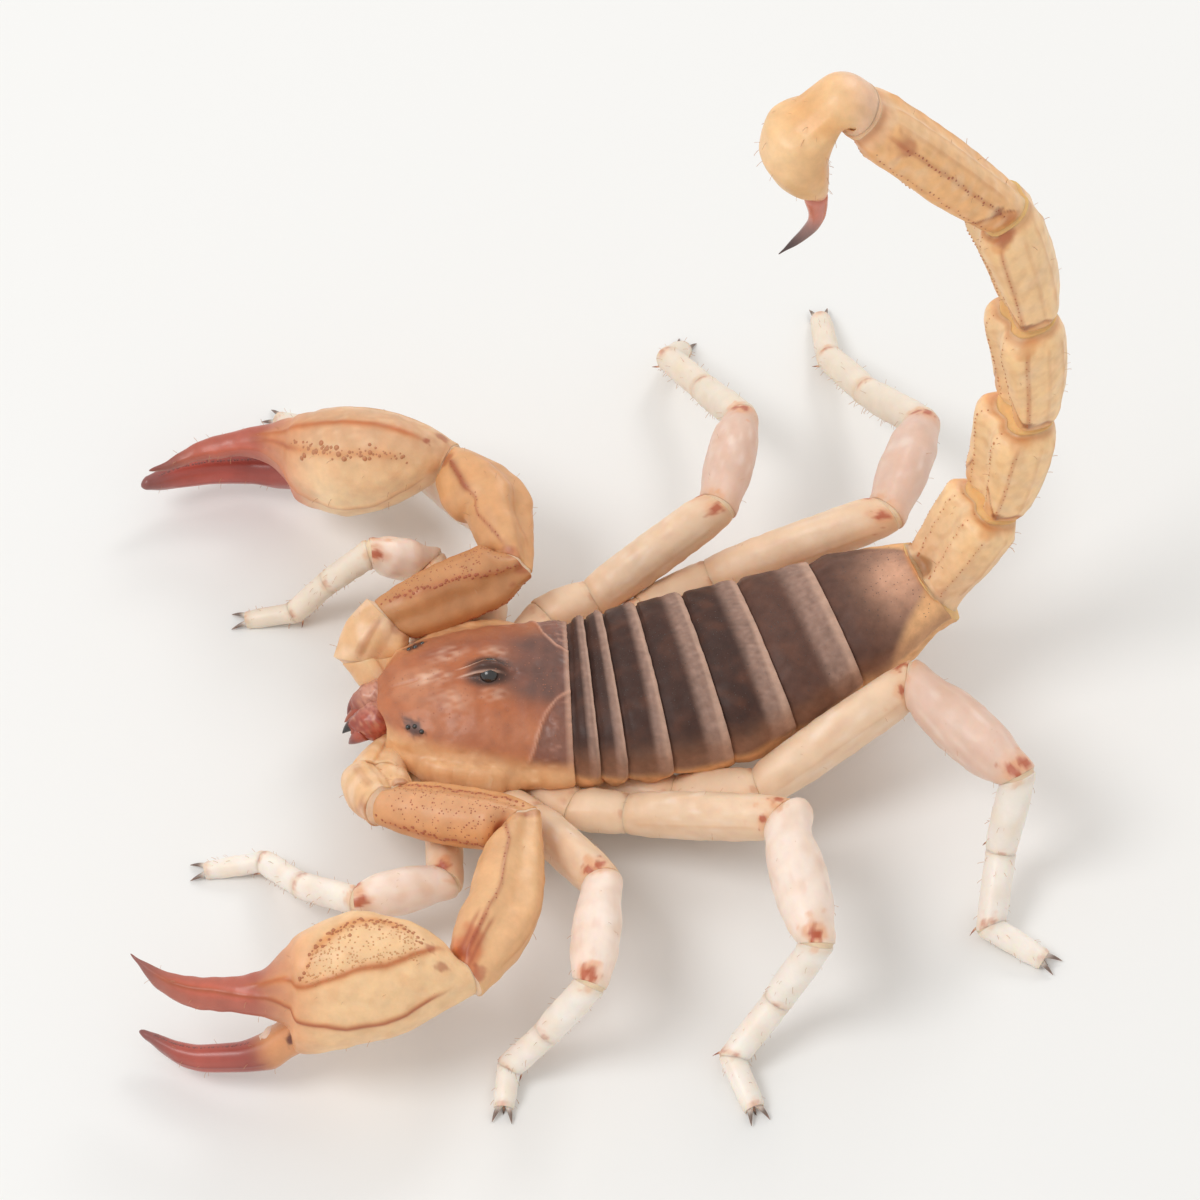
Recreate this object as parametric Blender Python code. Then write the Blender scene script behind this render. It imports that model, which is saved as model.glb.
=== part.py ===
"""Desert scorpion, a life-size still model standing with raised claws and an arched tail.

Frame: metres, +Z up, floor at Z = 0, head toward -Y, the animal's left side toward +X.
Every dimension below is in millimetres. The animal is built as chains of shell segments: the trunk
and tail, two pedipalps and eight legs. Each segment is a tube of keeled or rounded sections that
ends on the plane shared with its neighbour, so segments meet with a small gap and never overlap.
"""

import math

import bmesh
import bpy
from mathutils import Matrix, Vector

MM = 0.001
GAP = 0.3            # clearance between two segments of a chain
FLOOR_BITE = 0.14    # how far a foot is pressed in before its sole is cut flat
INSET = 0.12         # nearest that a segment's inner rings come to its end planes

# Moves the middle of the finished animal's box over the origin.
CENTRING = Vector((1.1, -6.02, 0.0))

# ---------------------------------------------------------------- trunk and tail
# Joints of the carapace and the seven mesosomal rings: name, place of the joint behind the piece.
SNOUT = Vector((-1.2, -7.2, 6.6))
TRUNK = (
    ("prosoma", (1.0, 5.6, 6.7)),
    ("mesosoma_1", (1.15, 7.0, 6.75)),
    ("mesosoma_2", (1.25, 8.6, 6.8)),
    ("mesosoma_3", (1.3, 11.4, 6.95)),
    ("mesosoma_4", (1.1, 15.2, 7.35)),
    ("mesosoma_5", (0.6, 19.5, 8.1)),
    ("mesosoma_6", (-0.3, 24.7, 9.3)),
    ("mesosoma_7", (-1.5, 31.9, 10.9)),
)
# Half width, rise above and drop below the side margin, at each joint of the trunk.
TRUNK_SIZE = (
    (3.5, 0.9, 1.2),
    (6.3, 3.1, 2.2),
    (6.5, 3.2, 2.2),
    (6.75, 3.35, 2.25),
    (6.95, 3.5, 2.3),
    (6.8, 3.5, 3.6),
    (6.2, 3.3, 3.6),
    (5.15, 3.0, 3.2),
    (2.95, 2.3, 2.3),
)
CARAPACE_STATIONS = (
    (0.07, 4.3, 1.5, 1.4),
    (0.20, 5.0, 2.3, 1.9),
    (0.40, 5.65, 2.9, 2.15),
    (0.50, 5.85, 3.15, 2.2),
    (0.58, 6.0, 3.2, 2.2),
    (0.70, 6.2, 3.05, 2.2),
    (0.92, 6.45, 3.2, 2.2),
)

# The tail stands in one plane: its heading turns to the animal's right, and it leans a little over.
TAIL_HEADING = math.radians(8.0)
TAIL_LEAN = math.radians(3.0)
# Name, length, pitch above the backward horizontal, half width, and the keeled back's height over
# the joints' line at the front and the rear of the ring, then the drop to its ventral side.
TAIL = (
    ("metasoma_1", 7.8, 57.0, 3.0, 1.95, 2.35, 2.2),
    ("metasoma_2", 8.9, 76.0, 2.95, 1.9, 2.85, 2.25),
    ("metasoma_3", 10.0, 91.0, 2.9, 1.8, 2.6, 2.3),
    ("metasoma_4", 11.3, 102.0, 2.8, 1.8, 2.35, 2.35),
    ("metasoma_5", 15.9, 129.5, 2.5, 1.75, 1.75, 2.0),
)
TAIL_JOINT_SIZE = (2.1, 1.6, 1.85)
# The neck turns the telson from the last ring's pitch to its own.
TELSON_NECK = ((0.3, 129.5, 1.35, 1.3), (1.65, 190.0, 1.7, 1.35))
TELSON_DROP_START = 1.8
VESICLE_LENGTH = 8.9
VESICLE_PITCH = 263.0
# Place along the vesicle, half width, half depth, shift toward its belly.
VESICLE_STATIONS = (
    (0.12, 2.15, 1.95, 1.45),
    (0.26, 2.6, 2.15, 2.1),
    (0.47, 2.7, 2.2, 2.25),
    (0.70, 2.3, 1.95, 1.75),
    (0.86, 1.6, 1.5, 1.15),
    (0.95, 1.05, 0.95, 0.5),
    (1.0, 0.75, 0.7, 0.25),
)
ACULEUS_LENGTH = 4.9
ACULEUS_BASE_RADIUS = 0.66
ACULEUS_PITCH = 272.0
ACULEUS_SWEEP = math.radians(58.0)

# ---------------------------------------------------------------- eyes, mouth, underside
EYE_RADIUS = 0.42
EYE_SPREAD = 0.62          # from the middle line to an eye's middle
EYE_STATION = 0.52         # share of the carapace ahead of the eyes
EYE_HEIGHT = 3.35          # over the joints' line
EYE_SEAT = 0.05            # how much of each ball is left below its middle
EYE_TILT = math.radians(32.0)
CHELICERA_SIZE = (1.05, 1.0)
CHELICERA_BODY = 2.3
CHELICERA_SPREAD = 1.2
CHELICERA_DIP = 0.3        # fall of the jaws for each unit ahead
CHELICERA_STATIONS = ((0.0, 0.8), (0.35, 1.0), (0.75, 0.98), (1.0, 0.72))
UNDERSIDE_HEIGHT = 3.7
STERNUM_SIZE = (0.75, 6.2, 1.2)
STERNUM_START = -1.6       # place of its front along the trunk
STERNUM_STATIONS = ((0.0, 0.6), (0.3, 1.0), (0.8, 1.25), (1.0, 1.0))
PECTEN_TEETH = 14
PECTEN_ROOT = (6.2, 1.0)   # place along the trunk and distance beside its middle line
PECTEN_TIP = (12.0, 3.75)
PECTEN_SPINE = 0.8         # width of the comb's back
PECTEN_TOOTH = 1.15
PECTEN_NOTCH = 0.45
PECTEN_THICKNESS = 0.6

# ---------------------------------------------------------------- pedipalps
# Coxa root, trochanter root, femur root, knee, bow of the patella, wrist, then the claw's far end.
PEDIPALP_L = ((1.2, -7.4, 4.0), (4.8, -9.3, 5.4), (8.4, -8.6, 7.4), (12.7, -0.2, 8.8),
              (19.5, -2.5, 9.0), (25.0, -5.9, 9.2), (22.1, -27.7, 9.9))
PEDIPALP_R = ((-3.6, -6.6, 4.0), (-5.9, -7.9, 5.4), (-7.7, -6.0, 7.4), (-9.7, 3.3, 8.9),
              (-14.8, 3.6, 9.1), (-19.8, 0.7, 9.0), (-28.6, -19.7, 7.0))
PEDIPALP_JOINTS = ((1.0, 0.8), (1.5, 1.3), (1.45, 1.3), (1.15, 1.25), (2.35, 2.15), (1.25, 1.15))
COXA_STATIONS = ((0.5, 1.35, 1.15),)
TROCHANTER_STATIONS = ((0.45, 1.85, 1.65),)
PALP_FEMUR_STATIONS = ((0.14, 1.85, 1.6), (0.45, 2.15, 1.8), (0.8, 2.15, 1.75))
PALP_PATELLA_STATIONS = (((0.35, 1.9, 1.75), (0.7, 2.3, 2.05)), ((0.35, 2.4, 2.15), (0.8, 1.8, 1.6)))
# Roll of the plane of the fingers below the outward horizontal.
CLAW_ROLL = {"L": math.radians(75.0), "R": math.radians(75.0)}
CLAW_OPENING = {"L": math.radians(22.0), "R": math.radians(0.0)}
# Along the claw; toward the movable finger; toward the body; half depth; half width.
PALM_STATIONS = (
    (0.25, 0.0, 0.0, 1.35, 1.2),
    (1.6, 0.0, 0.1, 2.5, 2.1),
    (4.4, -0.1, 0.5, 3.9, 3.0),
    (7.2, 0.1, 0.8, 4.4, 3.45),
    (9.5, 0.8, 0.6, 4.45, 3.1),
    (11.5, 1.5, 0.4, 4.15, 2.6),
    (12.0, 0.9, 0.35, 2.9, 2.2),
    (14.2, 1.3, 0.1, 1.5, 1.3),
    (16.0, 1.6, 0.35, 1.25, 1.05),
    (18.4, 1.95, 0.95, 1.15, 0.95),
    (20.2, 1.85, 1.7, 0.95, 0.8),
    (21.6, 1.5, 2.6, 0.68, 0.6),
    (22.9, 0.7, 3.6, 0.25, 0.25),
)
FINGER_PIVOT = (12.1, 5.0)
FINGER_STATIONS = (
    (12.45, 5.3, 0.25, 1.15, 1.1),
    (14.2, 5.75, 0.15, 1.1, 1.05),
    (16.0, 5.65, 0.35, 0.9, 0.85),
    (18.4, 5.3, 0.95, 0.85, 0.75),
    (20.2, 4.85, 1.7, 0.8, 0.7),
    (21.6, 4.2, 2.55, 0.6, 0.52),
    (22.8, 3.4, 3.4, 0.25, 0.25),
)

# ---------------------------------------------------------------- legs
# Root of each coxa, as a place along the trunk and a distance beside its middle line.
COXA_ROOTS = {1: (-4.6, 1.2), 2: (-2.4, 1.35), 3: (-0.1, 1.5), 4: (2.2, 1.9)}
COXA_ROOT_HEIGHT = 3.4
# Coxa end, hip, knee, patella end, tibia end, basitarsus end and toe of each leg.
LEGS = {
    "L1": ((6.1, -5.5, 3.9), (8.9, -4.9, 4.0), (14.0, -5.7, 5.2), (14.8, -12.0, 5.6),
           (11.1, -15.0, 3.2), (7.1, -17.1, 1.1), (6.6, -20.8, 0.5)),
    "L2": ((7.4, -0.6, 4.2), (9.6, 1.4, 4.6), (17.7, 4.7, 7.6), (26.5, 2.2, 8.4),
           (26.8, -0.5, 3.9), (27.3, -3.3, 1.1), (29.6, -4.0, 0.5)),
    "L3": ((8.8, 4.3, 4.3), (10.2, 8.0, 4.6), (15.8, 17.7, 9.2), (26.4, 17.9, 9.0),
           (27.0, 15.8, 3.8), (29.4, 12.2, 1.2), (32.8, 12.9, 0.5)),
    "L4": ((8.7, 11.5, 4.0), (10.0, 17.3, 5.0), (6.7, 28.7, 10.2), (15.9, 34.2, 10.2),
           (17.3, 33.5, 3.6), (22.0, 31.8, 1.3), (24.5, 34.7, 0.5)),
    "R1": ((-7.5, -3.4, 4.2), (-10.1, -2.2, 4.4), (-14.4, -2.0, 4.4), (-14.0, -6.3, 7.2),
           (-14.5, -9.3, 4.0), (-14.4, -12.0, 1.1), (-14.9, -15.0, 0.5)),
    "R2": ((-8.0, 0.8, 4.2), (-10.6, 1.6, 4.2), (-16.3, 4.0, 4.2), (-26.6, -1.7, 3.0),
           (-29.1, -5.8, 1.9), (-31.2, -8.2, 1.05), (-32.8, -10.0, 0.5)),
    "R3": ((-8.2, 5.2, 4.4), (-8.9, 9.0, 4.8), (-11.5, 18.5, 9.9), (-20.3, 22.0, 8.6),
           (-27.0, 21.0, 4.6), (-32.0, 19.3, 2.6), (-34.3, 20.7, 0.5)),
    "R4": ((-7.4, 12.4, 4.2), (-8.9, 17.6, 5.1), (-8.0, 30.0, 10.8), (-17.4, 34.8, 8.6),
           (-24.7, 32.8, 4.3), (-30.9, 31.3, 1.3), (-35.1, 31.6, 0.5)),
}
LEG_SCALE = {1: 0.84, 2: 0.94, 3: 1.0, 4: 1.04}
LEG_JOINTS = ((0.6, 0.6), (1.25, 1.0), (1.25, 1.15), (1.2, 1.15), (0.98, 0.98), (0.86, 0.86),
              (0.78, 0.76), (0.6, 0.58))
LEG_COXA_STATIONS = ((0.3, 0.85, 0.6), (0.8, 1.6, 0.85))
LEG_TROCHANTER_STATIONS = ((0.35, 1.5, 1.4), (0.75, 1.45, 1.35))
LEG_FEMUR_STATIONS = ((0.16, 1.4, 1.5), (0.5, 1.35, 1.75), (0.84, 1.35, 1.6))
LEG_PATELLA_STATIONS = ((0.16, 1.3, 1.4), (0.42, 1.55, 1.8), (0.7, 1.5, 1.75), (0.9, 1.15, 1.3))
LEG_TIBIA_STATIONS = ((0.3, 0.98, 1.08), (0.75, 0.98, 1.02))
LEG_BASITARSUS_STATIONS = ((0.25, 0.9, 0.95), (0.8, 0.9, 0.9))
LEG_TELOTARSUS_STATIONS = ((0.25, 0.76, 0.76), (0.8, 0.74, 0.72))
TOE_CLAW = (0.5, 0.34, 0.28)     # length of each of the three bends of a toe claw, thick to thin

COLOURS = {
    "carapace": (0.56, 0.27, 0.15),
    "tergite": (0.16, 0.085, 0.055),
    "tail": (0.80, 0.47, 0.24),
    "leg": (0.85, 0.66, 0.48),
    "claw": (0.78, 0.45, 0.22),
    "finger": (0.42, 0.11, 0.07),
    "sting": (0.30, 0.10, 0.07),
    "eye": (0.02, 0.015, 0.012),
    "belly": (0.75, 0.50, 0.30),
}


# ---------------------------------------------------------------- outlines of the sections
def arch(count, start=0.0, end=180.0):
    """Points of an arc of the unit circle, from start to end in degrees."""
    step = (end - start) / (count - 1)
    angles = [math.radians(start + step * index) for index in range(count)]
    return [(math.cos(angle), math.sin(angle)) for angle in angles]


def round_outline(count):
    """A regular outline with a point on top."""
    turn = math.tau / count
    return [(math.sin(turn * index), math.cos(turn * index)) for index in range(count)][::-1]


def mirrored(half):
    """A whole outline from its right half, listed from top to bottom, ends on the middle line."""
    return half[::-1] + [(-x, y) for x, y in half[1:-1]]


TRUNK_OUTLINE = arch(11) + [(-1.03, -0.3), (-0.86, -0.78), (-0.5, -1.0), (0.0, -1.0),
                            (0.5, -1.0), (0.86, -0.78), (1.03, -0.3)]
# Tail section: paired dorsal, lateral, ventrolateral and ventral keels with flat faces between.
TAIL_OUTLINE = mirrored([(0.0, 0.78), (0.5, 0.95), (0.9, 0.72), (1.0, 0.1), (0.86, -0.62),
                         (0.42, -0.98), (0.0, -0.94)])
PALM_OUTLINE = mirrored([(0.0, 1.0), (0.5, 0.9), (0.88, 0.55), (1.0, 0.0), (0.9, -0.5),
                         (0.52, -0.88), (0.0, -1.0)])
PALP_OUTLINE = mirrored([(0.0, 0.82), (0.62, 0.86), (0.96, 0.4), (0.96, -0.3), (0.6, -0.85),
                         (0.0, -1.0)])
LEG_OUTLINE = round_outline(8)
DIGIT_OUTLINE = round_outline(8)


# ---------------------------------------------------------------- mesh helpers
def tube_mesh(name, rings):
    """A closed mesh through rings of points that all have the same count."""
    mesh = bmesh.new()
    loops = [[mesh.verts.new(point) for point in ring] for ring in rings]
    for low, high in zip(loops, loops[1:]):
        for index, vertex in enumerate(low):
            after = (index + 1) % len(low)
            mesh.faces.new((vertex, low[after], high[after], high[index]))
    mesh.faces.new(loops[0][::-1])
    mesh.faces.new(loops[-1])
    bmesh.ops.recalc_face_normals(mesh, faces=mesh.faces)
    return mesh


def material(kind):
    """A Principled material in the piece's colour."""
    found = bpy.data.materials.get(kind)
    if found:
        return found
    made = bpy.data.materials.new(kind)
    made.use_nodes = True
    shader = made.node_tree.nodes["Principled BSDF"]
    shader.inputs["Base Color"].default_value = (*COLOURS[kind], 1.0)
    shader.inputs["Roughness"].default_value = 0.12 if kind == "eye" else 0.38
    shader.inputs["Metallic"].default_value = 0.0
    return made


def add_piece(name, mesh, origin, parent, kind):
    """Make an object of a mesh given in millimetres, with its origin on its own joint."""
    data = bpy.data.meshes.new(name)
    bmesh.ops.translate(mesh, verts=mesh.verts, vec=-origin)
    bmesh.ops.scale(mesh, verts=mesh.verts, vec=(MM, MM, MM))
    mesh.to_mesh(data)
    mesh.free()
    data.shade_smooth()
    data.set_sharp_from_angle(angle=math.radians(50.0))
    piece = bpy.data.objects.new(name, data)
    bpy.context.scene.collection.objects.link(piece)
    piece["joint"] = [*origin]
    piece.parent = parent
    start = Vector(parent["joint"])
    piece.location = (origin - start) * MM
    data.materials.append(material(kind))
    return piece


# ---------------------------------------------------------------- chains of segments
def chain_axes(joints, up):
    """Direction, side and up vectors of each segment, with the up vector carried along."""
    axes = []
    for start, end in zip(joints, joints[1:]):
        along = (end - start).normalized()
        if axes:
            up = axes[-1][0].rotation_difference(along) @ axes[-1][2]
        side = along.cross(up).normalized()
        up = side.cross(along).normalized()
        axes.append((along, side, up))
    return axes


def section(centre, axes, outline, half_width, rise, drop):
    """One section of a segment, square to the segment."""
    along, side, up = axes
    points = []
    for across, height in outline:
        reach = rise if height > 0.0 else drop
        points.append(centre + side * (across * half_width) + up * (height * reach))
    return points


def onto_plane(points, along, plane_point, normal):
    """Slide points along the segment until they lie on a plane."""
    slope = along.dot(normal)
    return [point + along * ((plane_point - point).dot(normal) / slope) for point in points]


def keep_between(ring, along, first, last, margin):
    """Slide the points of a middle ring that pass an end plane back inside it."""
    kept = []
    for point in ring:
        for plane_point, normal in (first, (last[0], -last[1])):
            depth = (point - plane_point).dot(normal)
            if depth < margin:
                point = point + along * ((margin - depth) / along.dot(normal))
        kept.append(point)
    return kept


def joint_planes(joints, axes):
    """The plane on which the segments at each joint meet, as the mean of their directions."""
    normals = [axes[0][0]]
    for before, after in zip(axes, axes[1:]):
        normals.append((before[0] + after[0]).normalized())
    normals.append(axes[-1][0])
    return list(zip(joints, normals))


def chain_rings(joints, up, outline, sizes, stations, first, last):
    """Rings of the piece that spans the segments first to last of a chain."""
    axes = chain_axes(joints, up)
    planes = joint_planes(joints, axes)
    rings = []
    for index in range(first, last + 1):
        along = axes[index][0]
        length = (joints[index + 1] - joints[index]).length
        shares = [(0.0, *sizes[index])] if index == first else []
        shares += stations[index]
        shares.append((1.0, *sizes[index + 1]))
        starts = list(planes[index])
        ends = list(planes[index + 1])
        if index == first:
            starts[0] = starts[0] + starts[1] * (GAP / 2)
        if index == last:
            ends[0] = ends[0] - ends[1] * (GAP / 2)
        for share, half_width, *heights in shares:
            rise = heights[0]
            drop = heights[-1]
            centre = joints[index] + along * (length * share)
            ring = section(centre, axes[index], outline, half_width, rise, drop)
            if share == 0.0:
                ring = onto_plane(ring, along, *starts)
            elif share == 1.0:
                ring = onto_plane(ring, along, *ends)
            else:
                ring = keep_between(ring, along, starts, ends, INSET)
            rings.append(ring)
    return rings


# ---------------------------------------------------------------- trunk and tail
def tail_plane():
    """Backward, up and outward vectors of the plane the tail stands in."""
    back = Vector((-math.sin(TAIL_HEADING), math.cos(TAIL_HEADING), 0.0))
    side = Vector((math.cos(TAIL_HEADING), math.sin(TAIL_HEADING), 0.0))
    up = Vector((0.0, 0.0, 1.0)) * math.cos(TAIL_LEAN) - side * math.sin(TAIL_LEAN)
    return back, up, back.cross(up)


def pitched(pitch):
    """A direction in the tail's plane, from its pitch in degrees."""
    back, up, _ = tail_plane()
    angle = math.radians(pitch)
    return back * math.cos(angle) + up * math.sin(angle)


def trunk_joints():
    """All joints from the snout to the end of the tail's fifth ring."""
    joints = [SNOUT] + [Vector(place) for _, place in TRUNK]
    for _, length, pitch, *_ in TAIL:
        joints.append(joints[-1] + pitched(pitch) * length)
    return joints


def beside_trunk(place_y, offset, height):
    """A point beside the trunk's middle line, square to it, offset toward the left if positive."""
    joints = trunk_joints()[:len(TRUNK) + 1]
    for start, end in zip(joints, joints[1:]):
        if place_y <= end.y or end is joints[-1]:
            break
    run = end - start
    middle = start + run * ((place_y - start.y) / run.y)
    left = Vector((run.y, -run.x, 0.0)).normalized()
    spot = middle + left * offset
    return Vector((spot.x, spot.y, height))


def build_trunk(root):
    """Carapace, seven mesosomal rings and five tail rings, each a piece of one chain."""
    joints = trunk_joints()
    count = len(TRUNK)
    sizes = list(TRUNK_SIZE) + [TAIL_JOINT_SIZE] * len(TAIL)
    stations = [CARAPACE_STATIONS]
    for number in range(1, count):
        front = TRUNK_SIZE[number]
        rear = TRUNK_SIZE[number + 1]
        stations.append([
            (0.14, *(value * 1.02 for value in front)),
            (0.5, *((a + b) / 2 + 0.12 for a, b in zip(front, rear))),
            (0.92, *(value * 1.02 for value in rear)),
        ])
    for _, _, _, half_width, front_rise, rear_rise, drop in TAIL:
        stations.append([
            (0.09, half_width * 0.9, front_rise, drop * 0.92),
            (0.48, half_width, (front_rise + rear_rise) / 2, drop * 1.03),
            (0.84, half_width * 1.02, rear_rise, drop),
            (0.94, half_width * 0.92, rear_rise * 0.88, drop * 0.92),
        ])
    up = Vector((0.0, 0.0, 1.0))
    pieces = {}
    parent = root
    names = [name for name, _ in TRUNK] + [row[0] for row in TAIL]
    for index, name in enumerate(names):
        outline = TRUNK_OUTLINE if index < count else TAIL_OUTLINE
        rings = chain_rings(joints, up, outline, sizes, stations, index, index)
        kind = "carapace" if index == 0 else "tergite" if index < count else "tail"
        mesh = tube_mesh(name, rings)
        parent = add_piece(name, mesh, joints[index], parent, kind)
        pieces[name] = parent
    return pieces


def build_telson(parent):
    """The swollen vesicle and its curved sting."""
    side = tail_plane()[2]
    end = trunk_joints()[-1]
    last = pitched(TAIL[-1][2])
    start = end + last * TELSON_DROP_START
    along = pitched(VESICLE_PITCH)
    belly = pitched(VESICLE_PITCH - 90.0)
    outline = round_outline(12)
    rings = []
    for reach, pitch, half_width, half_depth in TELSON_NECK:
        heading = pitched(pitch)
        upper = pitched(pitch + 90.0)
        rings.append(section(end + last * reach, (heading, side, upper), outline,
                             half_width, half_depth, half_depth))
    for share, half_width, half_depth, shift in VESICLE_STATIONS:
        centre = start + along * (VESICLE_LENGTH * share) + belly * shift
        rings.append(section(centre, (along, side, -belly), outline,
                             half_width, half_depth, half_depth))
    vesicle = add_piece("vesicle", tube_mesh("vesicle", rings), end, parent, "tail")

    base = start + along * (VESICLE_LENGTH + GAP) + belly * VESICLE_STATIONS[-1][3]
    rings = []
    bends = 6
    sweep_radius = ACULEUS_LENGTH / ACULEUS_SWEEP
    first = pitched(ACULEUS_PITCH)
    inward = pitched(ACULEUS_PITCH - 90.0)
    for bend in range(bends + 1):
        share = bend / bends
        angle = ACULEUS_SWEEP * share
        centre = base + first * (sweep_radius * math.sin(angle))
        centre = centre + inward * (sweep_radius * (1.0 - math.cos(angle)))
        heading = first * math.cos(angle) + inward * math.sin(angle)
        radius = ACULEUS_BASE_RADIUS * (1.0 - share) ** 0.7 + 0.1 * share
        normal = heading.cross(side)
        rings.append(section(centre, (heading, side, normal), DIGIT_OUTLINE, radius, radius, radius))
    add_piece("aculeus", tube_mesh("aculeus", rings), base, vesicle, "sting")


# ---------------------------------------------------------------- head and underside
def build_eyes(prosoma):
    """Two median eyes on the ridge in the middle of the carapace."""
    joints = trunk_joints()
    run = joints[1] - joints[0]
    left = Vector((run.y, -run.x, 0.0)).normalized()
    crest = joints[0] + run * EYE_STATION + Vector((0.0, 0.0, EYE_HEIGHT))
    for side, name in ((1.0, "median_eye_L"), (-1.0, "median_eye_R")):
        mesh = bmesh.new()
        bmesh.ops.create_icosphere(mesh, subdivisions=2, radius=EYE_RADIUS)
        bmesh.ops.bisect_plane(mesh, geom=mesh.verts[:] + mesh.edges[:] + mesh.faces[:],
                               plane_co=(0.0, 0.0, -EYE_SEAT), plane_no=(0.0, 0.0, 1.0),
                               clear_inner=True)
        bmesh.ops.holes_fill(mesh, edges=mesh.edges[:])
        tilt = Matrix.Rotation(EYE_TILT * side, 4, run)
        centre = crest + left * (EYE_SPREAD * side)
        bmesh.ops.transform(mesh, matrix=Matrix.Translation(centre) @ tilt, verts=mesh.verts)
        add_piece(name, mesh, centre, prosoma, "eye")


def forked_tube(name, rings, prong_rings):
    """A tube whose far cap is split in two, each half drawn out into a prong."""
    mesh = tube_mesh(name, rings)
    mesh.faces.ensure_lookup_table()
    cap = mesh.faces[-1]
    corners = list(cap.verts)
    half = len(corners) // 2
    split = bmesh.utils.face_split(cap, corners[0], corners[half])
    faces = [cap, split[0]]
    for face, offsets in zip(faces, prong_rings):
        for shift, size in offsets:
            grown = bmesh.ops.extrude_discrete_faces(mesh, faces=[face])
            face = grown["faces"][0]
            middle = face.calc_center_median()
            bmesh.ops.scale(mesh, vec=(size, size, size), verts=face.verts,
                            space=Matrix.Translation(-middle))
            bmesh.ops.translate(mesh, vec=shift, verts=face.verts)
    bmesh.ops.recalc_face_normals(mesh, faces=mesh.faces)
    return mesh


def build_chelicerae(prosoma):
    """The pair of small jaws in front of the carapace, each ending in two short teeth."""
    joints = trunk_joints()
    ahead = (joints[0] - joints[1]).normalized()
    left = Vector((-ahead.y, ahead.x, 0.0)).normalized()
    up = Vector((0.0, 0.0, 1.0))
    half_width, half_height = CHELICERA_SIZE
    for side, name in ((1.0, "chelicera_L"), (-1.0, "chelicera_R")):
        root = SNOUT + ahead * GAP + left * (CHELICERA_SPREAD * side) - up * GAP
        heading = (ahead - up * CHELICERA_DIP - left * (0.08 * side)).normalized()
        axes = chain_axes([root, root + heading], up)[0]
        rings = []
        for share, size in CHELICERA_STATIONS:
            centre = root + heading * (CHELICERA_BODY * share)
            rings.append(section(centre, axes, DIGIT_OUTLINE, half_width * size,
                                 half_height * size, half_height * size))
        rings[0] = onto_plane(rings[0], heading, SNOUT + ahead * GAP, ahead)
        prongs = []
        for outward in (1.0, -1.0):
            spread = axes[1] * (0.16 * outward)
            prongs.append([(heading * 0.8 + spread, 0.72), (heading * 0.6 - axes[2] * 0.1, 0.6),
                           (heading * 0.5 - spread * 1.2 - axes[2] * 0.2, 0.5)])
        mesh = forked_tube(name, rings, prongs)
        add_piece(name, mesh, root, prosoma, "finger")


def build_underside(pieces):
    """The sternum between the leg coxae and the pair of comb-like pectines behind it."""
    half_width, length, height = STERNUM_SIZE
    front = beside_trunk(STERNUM_START, 0.0, UNDERSIDE_HEIGHT)
    rear = beside_trunk(STERNUM_START + length, 0.0, UNDERSIDE_HEIGHT)
    axes = chain_axes([front, rear], Vector((0.0, 0.0, 1.0)))[0]
    rings = []
    for share, size in STERNUM_STATIONS:
        centre = front + (rear - front) * share
        rings.append(section(centre, axes, PALM_OUTLINE, half_width * size,
                             height * 0.45, height * 0.55))
    add_piece("sternum", tube_mesh("sternum", rings), front, pieces["prosoma"], "belly")

    for side, name in ((1.0, "pecten_L"), (-1.0, "pecten_R")):
        root = beside_trunk(PECTEN_ROOT[0], PECTEN_ROOT[1] * side, UNDERSIDE_HEIGHT)
        tip = beside_trunk(PECTEN_TIP[0], PECTEN_TIP[1] * side, UNDERSIDE_HEIGHT)
        run = tip - root
        behind = Vector((-run.y, run.x, 0.0)).normalized() * side
        outline = [root - behind * PECTEN_SPINE, tip - behind * (PECTEN_SPINE / 2)]
        steps = 2 * PECTEN_TEETH
        for step in range(steps + 1):
            share = 1.0 - step / steps
            reach = PECTEN_TOOTH if step % 2 else PECTEN_NOTCH
            outline.append(root + run * share + behind * (reach * (1.0 - 0.45 * share)))
        mesh = bmesh.new()
        face = mesh.faces.new([mesh.verts.new(point) for point in outline])
        grown = bmesh.ops.extrude_face_region(mesh, geom=[face])
        moved = [item for item in grown["geom"] if isinstance(item, bmesh.types.BMVert)]
        bmesh.ops.translate(mesh, vec=(0.0, 0.0, -PECTEN_THICKNESS), verts=moved)
        bmesh.ops.recalc_face_normals(mesh, faces=mesh.faces)
        add_piece(name, mesh, root, pieces["mesosoma_1"], "belly")


# ---------------------------------------------------------------- pedipalps
def claw_frame(wrist, end, side_name):
    """Along, movable-finger and body-side vectors of a claw."""
    outward = Vector((1.0 if side_name == "L" else -1.0, 0.0, 0.0))
    along = (end - wrist).normalized()
    roll = CLAW_ROLL[side_name]
    toward_finger = outward * math.cos(roll) - Vector((0.0, 0.0, 1.0)) * math.sin(roll)
    toward_finger = (toward_finger - along * toward_finger.dot(along)).normalized()
    inward = along.cross(toward_finger)
    if inward.dot(outward) > 0.0:
        inward = -inward
    return along, toward_finger, inward


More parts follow.
